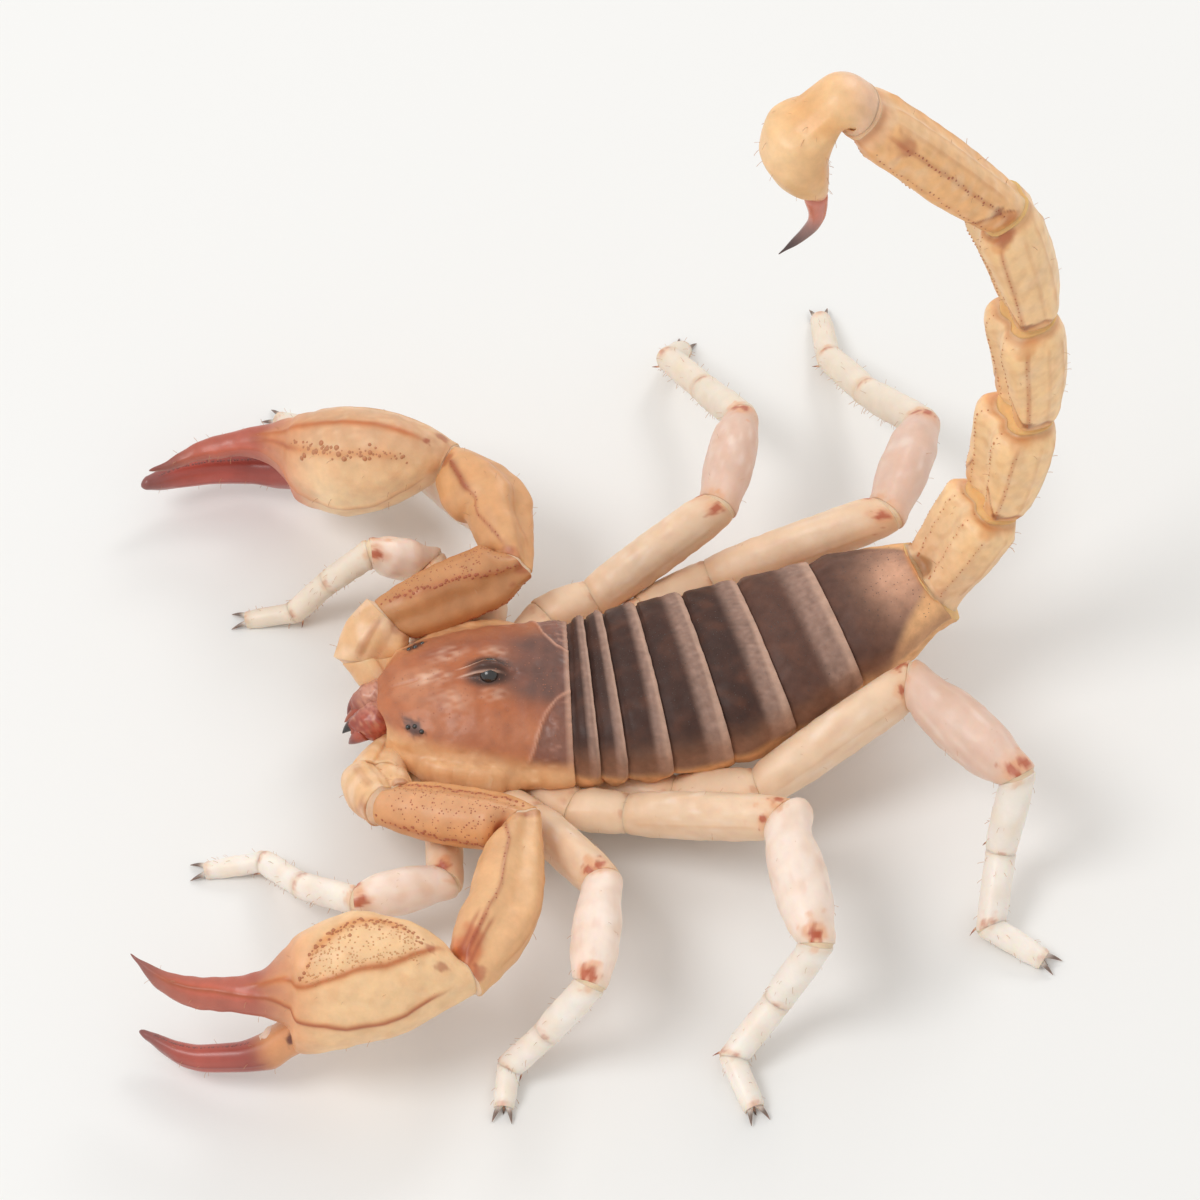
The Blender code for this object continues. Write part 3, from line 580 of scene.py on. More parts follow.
def add_hairs(part, shell, count, shares, angles, length, lean, seed):
    """Hairs scattered over a part of a shell, leaning toward its end."""
    draw = np.random.default_rng(seed)
    along = draw.uniform(*shares, count)
    turn = draw.uniform(*angles, count)
    points, facing, _ = shell.at(along, turn)
    heading = facing + shell.axis * draw.uniform(0.5, 1.3, (count, 1)) * lean
    heading = units(heading + draw.normal(0.0, 0.18, (count, 3)))
    sizes = length * draw.uniform(0.55, 1.3, count)
    row, column = divmod(len(SHELLS), MAP_CELLS)
    corner = np.array((column, row % MAP_CELLS)) / MAP_CELLS
    root = corner + np.stack(((turn / 360.0) % 1.0, along), axis=1) * MAP_PART + MAP_EDGE
    # Hairs whose tips would pass the floor are left out.
    tip = HAIR_REACH * heading[:, 2] - HAIR_DROOP * np.hypot(heading[:, 0], heading[:, 1])
    clear = points[:, 2] + tip * sizes > 0.05
    hairs = (points - facing * 0.03, heading, sizes, root)
    HAIRS.setdefault(part, []).append([values[clear] for values in hairs])


# ---------------------------------------------------------------- nodes and materials
def add_node(tree, kind, settings=None, inputs=None):
    """A node with its settings, and its inputs: values, sockets, or nodes for their first socket."""
    node = tree.nodes.new(kind)
    for name, value in (settings or {}).items():
        setattr(node, name, value)
    for name, value in (inputs or {}).items():
        if isinstance(value, bpy.types.Node):
            value = value.outputs[0]
        if isinstance(value, bpy.types.NodeSocket):
            tree.links.new(value, node.inputs[name])
        else:
            node.inputs[name].default_value = value
    return node


def cuticle(name, roughness, grain, relief, scatter, coat=0.0, mottle_size=1.4, mottle_depth=0.12,
            shine=0.5):
    """Scorpion shell: waxed chitin, smooth to the touch, that lets a little light in.

    The colour comes from the piece's own tint, clouded at mottle_size. grain is the size of its finest
    dimples and relief their depth.
    """
    found = bpy.data.materials.get(name)
    if found:
        return found
    made = bpy.data.materials.new(name)
    made.use_nodes = True
    tree = made.node_tree
    where = add_node(tree, "ShaderNodeTexCoord").outputs["Object"]
    tint = add_node(tree, "ShaderNodeAttribute", {"attribute_name": "tint"})
    gloss = add_node(tree, "ShaderNodeAttribute", {"attribute_name": "gloss"}).outputs["Fac"]
    cloud = add_node(tree, "ShaderNodeTexNoise", {}, {
        "Vector": where, "Scale": 1.0 / (mottle_size * MM), "Detail": 5.0, "Roughness": 0.6})
    shade = add_node(tree, "ShaderNodeMapRange", {}, {
        "Value": cloud, "From Min": 0.25, "From Max": 0.75,
        "To Min": 1.0 - mottle_depth, "To Max": 1.0 + mottle_depth})
    coloured = add_node(tree, "ShaderNodeVectorMath", {"operation": "SCALE"}, {
        "Vector": tint, "Scale": shade})
    grains = add_node(tree, "ShaderNodeTexNoise", {}, {
        "Vector": where, "Scale": 1.0 / (grain * MM), "Detail": 3.0, "Roughness": 0.55})
    rough = add_node(tree, "ShaderNodeMapRange", {}, {
        "Value": gloss, "From Min": 0.0, "From Max": 1.0,
        "To Min": roughness + 0.16, "To Max": roughness - 0.14})
    worn = add_node(tree, "ShaderNodeMath", {"operation": "MULTIPLY_ADD"}, {
        0: grains, 1: 0.12, 2: rough})
    dents = add_node(tree, "ShaderNodeBump", {}, {
        "Height": grains, "Distance": relief * MM, "Strength": 1.0})
    shader = tree.nodes["Principled BSDF"]
    for label, node in (("Base Color", coloured), ("Roughness", worn), ("Normal", dents)):
        tree.links.new(node.outputs[0], shader.inputs[label])
    for label, value in (
        ("IOR", 1.54), ("Specular IOR Level", shine), ("Subsurface Weight", scatter),
        ("Subsurface Radius", (1.0, 0.45, 0.25)), ("Subsurface Scale", 0.7 * MM),
        ("Coat Weight", coat), ("Coat Roughness", 0.18),
    ):
        shader.inputs[label].default_value = value
    return made


def finishes():
    """The finishes of the animal, made once."""
    return {
        # Thick tanned plate under a thin wax: fine dimples, a soft sheen and a trace of depth.
        "carapace": cuticle("waxed_chestnut_chitin", 0.42, 0.16, 0.012, 0.12, 0.12, shine=0.4),
        # The same plate, darker and worn by sand, so duller, with cloudy brown patches.
        "plate": cuticle("waxed_dark_chitin", 0.54, 0.14, 0.014, 0.06, 0.03, 0.9, 0.2, shine=0.25),
        # Untanned plate: light sinks in and comes back warm, under the same wax.
        "straw": cuticle("waxed_straw_chitin", 0.42, 0.2, 0.010, 0.25, 0.1),
        # Plate so thin that the flesh glows through it.
        "leg": cuticle("thin_pale_chitin", 0.42, 0.22, 0.010, 0.35, 0.1, 1.8, 0.06),
        # Hardened biting edges: smooth, dense and glossy.
        "finger": cuticle("hard_red_chitin", 0.34, 0.12, 0.006, 0.1, 0.25),
        # A needle of the hardest plate, polished and nearly opaque.
        "sting": cuticle("hard_dark_chitin", 0.28, 0.1, 0.004, 0.05, 0.3),
        # Folded membrane with no wax: matt, wrinkled and translucent.
        "skin": cuticle("soft_joint_skin", 0.55, 0.12, 0.02, 0.4),
        # Solid bristles: plain brown, with a dull gloss along each.
        "hair": cuticle("brown_bristle", 0.45, 0.1, 0.0, 0.0),
        # Solid beads of tanned plate, glossier than the plate they stand on.
        "granule": cuticle("horny_granule", 0.35, 0.1, 0.004, 0.05, 0.1),
        # A clear lens over black pigment: a sharp highlight on black.
        "eye": cuticle("polished_eye", 0.16, 0.1, 0.0, 0.0, 0.8, 1.0, 0.0),
    }


# ---------------------------------------------------------------- trunk
PLATE_NAMES = [f"mesosoma_{number}" for number in range(1, 8)]
RING_NAMES = [f"metasoma_{number}" for number in range(1, 6)]
# Share of each back plate at which its pale hind margin starts.
BAND_START = (0.62, 0.64, 0.72, 0.62, 0.64, 0.6, 2.0)
PLATE_EDGE = 101.0       # angle of a back plate's side edge
EYE_SHARE = 0.555        # place of the eyes along the carapace
EYE_ANGLE = 12.5
EYE_RADIUS = 0.74
SIDE_EYES = ((0.125, 74.0), (0.158, 72.5), (0.19, 75.0))
COMB_TEETH = 22          # on each comb
TOOTH_HEIGHT = 3.6       # against half its width
# The fold that sets off each hind corner of the carapace, as shares and angles.
HIND_FOLD = ((0.76, 92), (0.81, 80), (0.86, 62), (0.93, 45), (1.0, 37))


def build_carapace(spacing, material):
    rings = sections("prosoma", "mesosoma_1", belly=False)[::-1]
    shell = straight(rings, UP, spacing, TONES["carapace"])
    across, share, angle = shell.beside(0), shell.share, shell.angle
    spread = np.abs(angle)
    # The eye hill, a crest between the eyes and a furrow ahead of it and behind it.
    shell.lift(0.62 * bump(share, EYE_SHARE, 0.1) * bump(across, 0, 1.0))
    shell.lift(0.4 * bump(share, EYE_SHARE - 0.01, 0.12) * bump(across, 0, 0.45))
    shell.lift(-0.1 * bump(across, 0, 0.3) * (shell.between(0, 0.42) + shell.between(0.68, 1)))
    brows = hind = 0.0
    folds = []
    for side in BOTH:
        brow = bump(across, side * (0.5 + 1.6 * (share - EYE_SHARE) ** 2), 0.1)
        brow = brow * shell.between(0.36, 0.66, 0.1)
        shell.lift(brow * 0.13)
        brows = brows + brow
        shell.lift(0.2 * bump(share, 0.14, 0.13) * bump(across, side * 2.6, 1.5))
        folds.append(shell.beside([(place, side * turn) for place, turn in HIND_FOLD]))
        shell.lift(0.1 * bump(folds[-1], 0, 0.2) * shell.between(0.74, 1.05, 0.05))
        behind = eased(side * folds[-1], 0.05, 0.5) * eased(share, 0.74, 0.8) * faded(spread, 88, 96)
        shell.lift(behind * (0.06 * shell.cloud(0.5, 5) - 0.05))
        hind = hind + behind
    shell.lift(0.035 * shell.cloud(1.6, 3) + 0.02 * shell.cloud(0.6, 4))
    wedge = faded(np.abs(angle + 8), 16 + 32 * share, 32 + 50 * share) * eased(share, 0.5, 0.72)
    shell.paint(
        ("#bb7048", 0.85 * faded(share, 0.1, 0.42)),
        ("#8a4a38", 0.7 * eased(-angle, 28, 56) * shell.between(0.1, 0.85, 0.2)),
        ("#c27f58", 0.5 * eased(spread, 48, 72)),
        (DUSK, 0.92 * wedge),
    )
    # Pale blotches on the front and middle of the carapace: painted highlights.
    for spot in ((0.2, 30, 1.9), (0.17, -14, 1.7), (0.4, 36, 1.5)):
        blots(shell, (*spot, "#d99f7c", 0.3))
    for fold in folds:
        shell.paint(("#dba58c", 0.75 * bump(fold, 0, 0.16) * shell.between(0.74, 1.05, 0.05)))
    pale = eased(shell.cloud(0.5, 61, (1.25, 0.8, 1)), -1.2, 1.3)
    shell.paint(
        (BROW, brows * 0.8),
        ("#684036", 0.35 * bump(across, 0, 0.3) * shell.between(0.42, 0.8, 0.1)),
        ("#7a5449", hind * 0.85),
        ("#b98673", 0.6 * hind * eased(shell.cloud(0.5, 14), 0.3, 1.2)),
        ("#b86a3c", 0.45 * shell.between(0.25, 0.8, 0.2) * bump(spread, 38, 20)),
    )
    for side in BOTH:
        for place, turn, width in ((0.24, 5, 1.3), (0.33, 44, 1.3), (0.58, 38, 0.9)):
            patch = pale * faded(shell.away(place, side * turn, 1.5), width * 0.3, width)
            shell.paint(("#ecc2a8", patch * 0.5))
            shell.lift(patch * 0.05)
    shell.mottle((2.6, "#9c583f", 0.25, 5), (0.8, "#8f5a46", 0.25, 6))
    around_eye = eased(1.55 - np.hypot((share - EYE_SHARE) * 9.5, np.abs(across) - 0.85), 0, 0.9)
    orange = eased(spread, 72 + 16 * share, 88 + 12 * share)
    wrinkles = shell.cloud(0.7, 63, (1, 0.5, 2.2))
    shell.paint(
        ("#33211c", 0.9 * around_eye * (1 - 0.6 * brows)),
        (BROW, brows * 0.6),
        ("#c79a83", 0.7 * eased(share, 0.965, 0.99)),
        (PLEURA, orange * 0.95),
        ("#c98956", 0.4 * orange * eased(shell.cloud(1.2, 15), 0, 1)),
        ("#f3cfa6", 0.6 * orange * eased(wrinkles, 0.4, 1.4)),
        ("#b9783f", 0.5 * orange * eased(-wrinkles, 0.5, 1.5)),
        (BELLY, eased(spread, 122, 138)),
    )
    blots(shell, *((0.155, side * 74, 0.45, "#4a2c26", 0.9, 1.7) for side in BOTH))
    shell.gloss += 0.3 * shell.cloud(1.2, 8)
    # Flank skin swells out over the roots of the legs.
    flank = eased(spread, 92, 110) * faded(spread, 134, 150)
    shell.lift(flank * (0.75 + 0.12 * shell.cloud(0.8, 16, (1, 0.6, 1.6))))
    shelf = eased(spread, 86, 100) * faded(spread, 104, 118)
    shell.lift(0.8 * shelf * shell.between(0.06, 0.8, 0.25))
    shell.shift(-0.75 * faded(share, 0, 0.22) * faded(spread, 55, 85), shell.axis)
    SHELLS["prosoma"] = shell
    grain_field("trunk", shell, (0.05, 0.95), ((0, -70), (1, -80)), ((0, 70), (1, 80)), 240,
                0.05, "#a8674a", 31)
    shell_piece("carapace_shell", [shell], material, "carapace", "prosoma", end=EDGE)


def build_plates(spacing, material):
    before = "prosoma"
    for number, node in enumerate(PLATE_NAMES):
        shell = straight(sections(node, before, belly=False), UP, spacing, TONES["plate"])
        share, across, spread = shell.share, shell.beside(0), np.abs(shell.angle)
        start = BAND_START[number]
        last = number == 6
        on_top = faded(spread, PLATE_EDGE - 4, PLATE_EDGE + 3)
        band = eased(share, start - 0.12, start + 0.12)
        # The plate is highest at its hind margin and dips under the one before.
        shell.lift(on_top * (0.16 * eased(share, 0.1, 0.95) - 0.1 * faded(share, 0, 0.2)))
        shell.lift(on_top * -0.05 * bump(share, start, 0.07))
        shell.lift(on_top * 0.01 * band * np.sin(across * 4.1 + 2 * shell.cloud(1.5, number)))
        shell.lift(0.025 * shell.cloud(1.1, 20 + number) * on_top)
        wrinkle = shell.cloud(0.9, 40 + number, (0.6, 1, 2.2))
        flank = eased(spread, PLATE_EDGE, PLATE_EDGE + 12) * faded(spread, 128, 140)
        reach = bump(share, 0.5, 0.45) if number else 1.1 - 0.3 * share
        shell.lift(flank * ((0.9 - 0.11 * number) * reach + 0.05 * wrinkle))
        shell.mottle((1.8, "#6a4231", 0.4, 60 + number), (0.7, "#43312b", 0.4, 80 + number))
        shell.paint(("#473733", 0.3 * bump(share, 0.25, 0.25) * bump(across, 0, 3)),
                    ("#80594a", 0.3 * (number > 4)))
        if last:
            shell.paint(("#a17a68", 0.6 * eased(share, 0.4, 0.8)),
                        ("#dba98c", 0.85 * bump(share, 0.72, 0.34) * shell.turned(10, 60)),
                        (STRAW_DEEP, 0.85 * eased(share, 0.86, 0.99)))
            on_edge = shell.turned(100, 24) + shell.turned(-100, 24)
            shell.lift(0.4 * on_edge * eased(share, 0.2, 0.6))
            shell.paint((PLEURA, eased(spread + 74 * np.clip(share - 0.3, 0, 1), 88, 103)))
            keels(shell, *((side * turn, 0.5, 0.92, 0.12, 0.05, "#b68669", 0.35, 0.5)
                           for side in BOTH for turn in (24, 58)))
        else:
            streaks = np.sin(across * 9 + 2.5 * shell.cloud(1.0, 110 + number))
            # The pale hind band with dark streaks, and a paler rim at the hind edge, partly the margin's
            # own colour and partly a painted highlight on the raised margin.
            shell.paint((TONES["band"], band * (0.8 + 0.15 * shell.cloud(0.5, 100 + number))),
                        ("#8a6a5a", 0.35 * band * eased(streaks, 0, 1)),
                        ("#c9a591", 0.7 * eased(share, 0.86, 0.95)))
        under = eased(spread, 128, 138)
        shell.paint(("#a87a60", 0.55 * eased(spread, PLATE_EDGE - 26, PLATE_EDGE - 4)),
                    (PLEURA, 1 - on_top),
                    ("#c88f5e", 0.5 * (1 - on_top) * eased(wrinkle, 0.1, 1.2)),
                    (BELLY, under * 0.9),
                    ("#b98a62", 0.6 * under * bump(share, 0.94, 0.06)))
        if 1 < number < 6:
            # A pair of breathing slits.
            for side in BOTH:
                slit = np.hypot((share - 0.5) * shell.reach[-1] / 0.3, shell.beside(side * 150) / 0.6)
                shell.lift(-0.08 * np.exp(-slit ** 2))
                shell.paint(("#8a5a3c", 0.8 * np.exp(-slit ** 4)))
        shell.gloss += 0.3 * shell.cloud(0.9, 120 + number) - 0.3 * band + 0.1
        SHELLS[node] = shell
        shell_piece(f"{node}_shell", [shell], material, "tergite", node, start=TUCK, end=EDGE)
        before = node
    for number, node in enumerate(PLATE_NAMES):
        grain_field("trunk", SHELLS[node], (0.1, min(BAND_START[number], 0.85)), ((0, -78), (1, -78)),
                    ((0, 78), (1, 78)), 30 + 20 * number, 0.045, "#46352f", 300 + number)


# ---------------------------------------------------------------- head
def build_eyes(material):
    """The pair on the eye hill, looking sideways, and three small ones at each front corner."""
    shell = SHELLS["prosoma"]
    beads = []
    for letter, side in SIDES.items():
        points, facing, _ = shell.at((EYE_SHARE, *(share for share, _ in SIDE_EYES)),
                                     (side * EYE_ANGLE, *(side * angle for _, angle in SIDE_EYES)))
        globe = ball(points[0] - facing[0] * 0.44, EYE_RADIUS,
                     (-1, -0.92, -0.7, -0.38, 0, 0.38, 0.7, 0.92, 1), 0.002, 32, 26)
        grid_piece(f"median_eye_{letter}_ball", [globe], material, "eye", f"median_eye_{letter}")
        beads += [ball(point - out * 0.06, 0.19, (-1, -0.8, -0.4, 0, 0.4, 0.8, 1), 0.003, 16, 14)
                  for point, out in zip(points[1:], facing[1:])]
    grid_piece("lateral_eyes", beads, material, "eye")


def build_chelicerae(material):
    """Two swollen jaws under the carapace's front edge, each with a pair of toothed fingers."""
    for letter, side in SIDES.items():
        node = f"chelicera_{letter}"
        low, high, middle = box_of(node)
        length = high[1] - low[1]
        half = (high[0] - low[0]) / 2
        root = np.array((middle[0], high[1] + 0.5, middle[2] - 0.1))
        forward = np.array((side * -0.04, -1.0, -0.3)) * length
        sizes = np.array(((0.9, 0.95), (1.1, 1.25), (1.02, 1.1), (0.75, 0.8), (0.4, 0.45))) * half
        trunk = limb([root + forward * step for step in (0, 0.2, 0.44, 0.6, 0.7)], sizes, UP,
                     "#b4533e" if side > 0 else "#c98a72", 40, 30)
        # Pale on the upper inner face of each jaw: a painted highlight. Deeper red toward the tip.
        trunk.paint(("#e2b09a", 0.6 * trunk.facing(-side, 0.3, 0.6)),
                    ("#8f3f31", 0.8 * eased(trunk.share, 0.45, 1)))
        trunk.mottle((0.6, "#cf9070", 0.6, 17), (0.35, "#8a3a2c", 0.5, 19))
        trunk.lift(0.07 * trunk.cloud(0.6, 18))
        grids = [lipped(trunk)]
        for inward, heading, bend, tip in (
            (0.3, (side * -0.15, -1, -0.35), (side * 0.3, 0.1, -1), BLACK if side > 0 else RUST),
            (-0.32, (side * 0.2, -1, -0.7), (side * -0.7, 0.3, -0.8), "#7c3226"),
        ):
            base = root + forward * 0.52 + np.array((-side * inward * half * 1.4, 0.0, -0.1))
            grids.append(horn(base, np.array(heading), np.array(bend), length * 0.38, half * 0.6,
                              "#a8503c", tip, 14))
        SHELLS[node] = trunk
        grid_piece(f"{node}_shell", grids, material, "finger", node)


# ---------------------------------------------------------------- underside
def build_underside(material):
    """The breast plate, and the pair of combs that scorpions feel the ground with."""
    low, high, middle = box_of("sternum")
    size = (high - low) / 2
    plate = limb([(middle[0], along, middle[2]) for along in (low[1], middle[1], high[1])],
                 [(size[0] * wide, size[2] * tall) for wide, tall in ((0.45, 0.7), (1, 1), (0.85, 0.9))],
                 UP, BELLY, 32, 20)
    plate.lift(-0.12 * bump(plate.beside(180), 0, 0.3) * plate.between(0.3, 1))
    SHELLS["sternum"] = plate
    shell_piece("sternum_shell", [plate], material, "belly", "sternum")
    for letter, side in SIDES.items():
        node = f"pecten_{letter}"
        low, high, middle = box_of(node)
        inner, outer = (low[0], high[0]) if side > 0 else (high[0], low[0])
        thick = (high[2] - low[2]) / 2
        path = [(inner + (outer - inner) * step, low[1] + (high[1] - low[1]) * rise, middle[2])
                for step, rise in ((0.02, 0.2), (0.3, 0.25), (0.65, 0.42), (0.98, 0.7))]
        shaft = limb(path, [(0.5, thick), (0.5, thick), (0.42, thick * 0.9), (0.2, thick * 0.7)],
                     UP, BELLY, 24, 40)
        shaft.mottle((0.8, "#c08f66", 0.4, 27))
        SHELLS[node] = shaft
        shell_piece(f"{node}_shaft", [shaft], material, "belly", node)


# ---------------------------------------------------------------- tail
# Lateral line of each ring: its colour's strength, and its angle from front to rear.
TAIL_LINES = ((0.15, 66), (0.5, 66), (0.62, 71), (0.6, 66), (0.55, 100))


def build_tail(spacing, material):
    before = "mesosoma_7"
    axis_before, up = SHELLS[before].axis, SHELLS[before].up
    for number, (node, (strength, line)) in enumerate(zip(RING_NAMES, TAIL_LINES)):
        rings = sections(node, before)
        axis = axis_between(rings[0], rings[-1])
        up = carried(axis_before, axis, up)
        shell = straight(rings, up, spacing, TONES["tail"])
        share = shell.share
        last = number == 4
        flare = shell.turned(0, 55)
        shell.lift(flare * (0.22 * bump(share, 0.86, 0.14) - 0.42 * bump(share, 0.18, 0.25)))
        shell.lift(-0.12 * faded(share, 0, 0.1))
        if 0 < number < 4:
            shell.lift(-0.3 * flare)
            shell.lift(0.35 * shell.turned(180, 60) * bump(share, 0.5, 0.4))
        if last:
            shell.lift(0.45 * shell.turned(10, 60) * bump(share, 0.36, 0.3))
        shell.paint(("#f3b16d", 0.7 if last else 0.1),
                    (STRAW_PALE, 0.5 * shell.turned(0, 40) + 0.4 * shell.turned(150, 30)),
                    ("#ddb290", 0.5 * (number == 0) * faded(share, 0.1, 0.9)))
        shell.lift(0.03 * shell.cloud(1.4, number + 11))
        for side in BOTH:
            keels(shell,
                  (side * 30, 0.12, 0.95, 0.13, 0.08, KEEL, 0.3, 0.42),
                  (side * line, 0.04, 0.97, 0.14, 0.07, KEEL, strength),
                  (side * (64 if last else 100), 0.1, 0.95, 0.12, 0.06, KEEL, 0.25),
                  (side * 126, 0.08, 0.95, 0.13, 0.07, KEEL, 0.28),
                  (side * 156, 0.08, 0.95, 0.13, 0.07, KEEL, 0.28))
            if last:
                shell.lift(-0.12 * eased(share, 0.93, 1))
                shell.paint(("#efbf98", 0.4 * eased(share, 0.9, 0.97)))
                blots(shell, (0.82, side * 103, 0.85, "#b65a33", 0.55, 1.5),
                      (0.04, side * 98, 0.8, RUST, 0.8))
            else:
                blots(shell, (0.95, side * line, 0.9, "#dc9350", 0.5))
            if number:
                arch_ahead(shell, side, line)
            if number == 3:
                blots(shell, (0.99, side * 74, 0.8, RUST, 0.7))
        if number == 0:
            blots(shell, (0.14, -4, 1.2, "#a06b3f", 0.75, 0.7),
                  (0.1, 66, 0.8, RUST, 0.4, 1.4), (0.1, -66, 0.8, RUST, 0.4, 1.4))
        shell.paint((KEEL, 0.45 * bump(share, 0.99, 0.02)))
        shell.mottle((1.6, "#f6d3ac", 0.35, number + 31), (0.8, "#d59a66", 0.25, number + 41))
        shell.gloss += 0.25 * shell.cloud(1.1, number + 51)
        SHELLS[node] = shell
        for side in BOTH:
            grain_row("tail", shell, side * 30, 0.12, 0.97, 0.42, 0.075, KEEL, 0.03, 400 + number)
            if last:
                grain_row("tail", shell, side * 100, 0.08, 0.8, 0.36, 0.085, RUST, 0.07, 410)
                grain_row("tail", shell, side * 64, 0.1, 0.9, 0.5, 0.07, RUST, 0.06, 411)
            else:
                grain_row("tail", shell, side * line, 0.1, 0.84, 0.4, 0.06, KEEL, 0.04, 420 + number)
        add_hairs("tail", shell, 16, (0.1, 1), ALL_ROUND, 0.5, 0.8, 430 + number)
        shell_piece(f"{node}_shell", [shell], material, "tail", node, start=EDGE, end=EDGE)
        before, axis_before = node, axis


def arch_ahead(shell, side, line):
    """A brown arch across the front of a ring, under the one before."""
    turn = shell.angle * side
    ahead = np.interp(turn, (36, 52, line, 100, 122), (0.34, 0.2, 0.1, 0.12, 0.02))
    away = (shell.share - ahead) * (shell.reach[-1] - shell.reach[0])
    inside = eased(turn, 26, 40) * faded(turn, 112, 126)
    shell.paint(("#9c4c1c", 0.9 * bump(away, 0, 0.2) * inside),
                ("#d98e4a", 0.55 * faded(away, -0.1, 0.1) * inside))
    shell.lift(-0.05 * bump(away, 0, 0.2) * inside)
    blots(shell, (0.13, side * line, 0.5, "#8c4318", 0.8))


def bent_frames(rings, axis, up):
    """Axes and up vectors of sections along a bend."""
    centres = [corners.mean(0) for corners in rings]
    frames = []
    for index in range(len(rings)):
        after = unit(centres[min(index + 1, len(rings) - 1)] - centres[max(index - 1, 0)])
        up = carried(axis, after, up)
        axis = after
        frames.append((axis, up))
    return zip(*frames)


STING_FINER = 0.6        # spacing of the sting's points against the rest
DROOP = np.array((0.0, -0.35, 0.75))     # where the bladder's tip lies against its solid
STING_BEND = np.array((0.0, 0.35, -0.1))


def build_telson(spacing, straw, dark):
    ring = SHELLS["metasoma_5"]
    rings = sections("vesicle", "aculeus")[::-1]
    axes, ups = bent_frames(rings, ring.axis, ring.up)
    shell = grow(rings, axes, ups, spacing, "#ecbd85")
    share = shell.share
    # The bladder hangs clear of the tail, and a swollen cuff joins the two.
    shell.lift(0.55 * faded(share, 0.05, 0.28))
    shell.shift(eased(share, 0.25, 1), DROOP)
    shell.shift(bump(share, 0.5, 0.25), (0, -0.35, 0))
    shell.lift(0.3 * shell.facing(0, -1, 0.9) * bump(share, 0.36, 0.12))
    shell.lift(0.25 * shell.facing(0, 0.7, 1) * bump(share, 0.05, 0.07))
    shell.lift(-0.32 * shell.facing(0, -0.7, 1) * bump(share, 0.21, 0.09))
    shell.lift(0.03 * shell.cloud(1.5, 71))
    # The pale wash on the side facing up toward the key light is a painted highlight, and the darker
    # orange low on the side turned from it is painted shade.
    shell.paint(
        (STRAW_PALE, 0.4 * shell.facing(0.4, -0.5, 0.5)),
        ("#efc3a4", 0.85 * faded(share, 0.04, 0.16)),
        ("#e89f52", 0.5 * bump(share, 0.22, 0.06)),
        ("#d98c70", 0.8 * eased(share, 0.84, 1)),
        ("#dca266", 0.6 * shell.facing(0.5, 0.6, -0.2) * bump(share, 0.55, 0.3)),
    )
    shell.mottle((1.5, "#e2b07a", 0.3, 72))
    shell.gloss += 0.2
    SHELLS["vesicle"] = shell
    add_hairs("tail", shell, 36, (0.2, 0.95), ALL_ROUND, 0.5, 0.7, 440)
    shell_piece("vesicle_shell", [shell], straw, "tail", "vesicle", start=EDGE)

    rings = sections("aculeus", "vesicle")
    axes, ups = bent_frames(rings, axes[-1], ups[-1])
    sting = grow(rings, axes, ups, spacing * STING_FINER, "#cf7d68")
    sting.lift(0.14 * faded(sting.share, 0, 0.5))
    sting.shift(1, DROOP)
    sting.shift(bump(sting.share, 0.45, 0.3), STING_BEND)
    sting.paint(("#8d6a63", eased(sting.share, 0.2, 0.6)), ("#4a3735", eased(sting.share, 0.5, 0.95)))
    sting.gloss += 0.4
    SHELLS["aculeus"] = sting
    shell_piece("sting_shell", [sting], dark, "sting", "aculeus", start=TUCK[2:], end=POINT[2:])


# ---------------------------------------------------------------- pedipalps
def split_chain(rings, cuts):
    """Lists of sections between cuts, each cut section shared by its two neighbours."""
    return [rings[low:high + 1] for low, high in zip(cuts, cuts[1:])]


def chain_frames(groups, up):
    """Axis and up vector of each group of sections, with up carried along the chain."""
    frames = []
    for rings in groups:
        axis = axis_between(rings[0], rings[-1])
        up = square_to(axis, up) if not frames else carried(frames[-1][0], axis, up)
        frames.append((axis, up))
    return frames


JOINT_CUT = 0.1          # trimmed from a shell at a joint inside one solid
KNEE_BOW = 3             # section at which the pedipalp's patella bends
ARM_PARTS = ("coxa", "trochanter", "femur", "patella")


def build_pedipalp(letter, spacing, straw):
    """One pedipalp as far as its wrist."""
    name = f"pedipalp_{letter}"
    base = sections(f"{name}_trochanter", f"{name}_femur")[::-1]
    thigh = sections(f"{name}_femur", f"{name}_trochanter")
    knee = sections(f"{name}_patella", f"{name}_femur")
    groups = split_chain(base, (0, len(base) - 3, len(base) - 1)) + [thigh]
    groups += split_chain(knee, (0, KNEE_BOW, len(knee) - 1))
    frames = chain_frames(groups, UP)
    trims = ((0.0, JOINT_CUT), (JOINT_CUT, 0.0), (0.0, 0.0))
    parts = [straight(rings, up, spacing, TONES["claw"], trim)
             for rings, (_, up), trim in zip(groups, frames, trims)]
    (axis, up), (axis_after, up_after) = frames[3:]
    middle = unit(axis + axis_after)
    rest = len(knee) - KNEE_BOW - 1
    axes = [axis] * KNEE_BOW + [middle] + [axis_after] * rest
    ups = [up] * KNEE_BOW + [square_to(middle, up + up_after)] + [up_after] * rest
    parts.append(grow(knee, axes, ups, spacing, TONES["claw"]))
    for index, shell in enumerate(parts):
        shell.lift(0.14 + 0.04 * shell.cloud(1.4, 210 + index))
        # Deeper straw in clouds, and paler where the shell faces up: a painted highlight.
        shell.paint((STRAW_DEEP, 0.3 + 0.25 * shell.cloud(2.4, 200 + index)),
                    (STRAW_PALE, 0.25 * shell.facing(0.3, 0, 1)))
        shell.gloss += 0.25 * shell.cloud(1.3, 220 + index)
        SHELLS[f"{name}_{ARM_PARTS[index]}"] = shell
    dress_arm(SIDES[letter], *parts)
    for part, shells in (("base", parts[:2]), ("femur", parts[2:3]), ("patella", parts[3:])):
        node = f"{name}_trochanter" if part == "base" else f"{name}_{part}"
        shell_piece(f"{name}_{part}_shell", shells, straw, "claw", node)


# How far the right patella bows out from its solid.
ARM_BOW = np.array((-0.45, -0.3, 0.0))
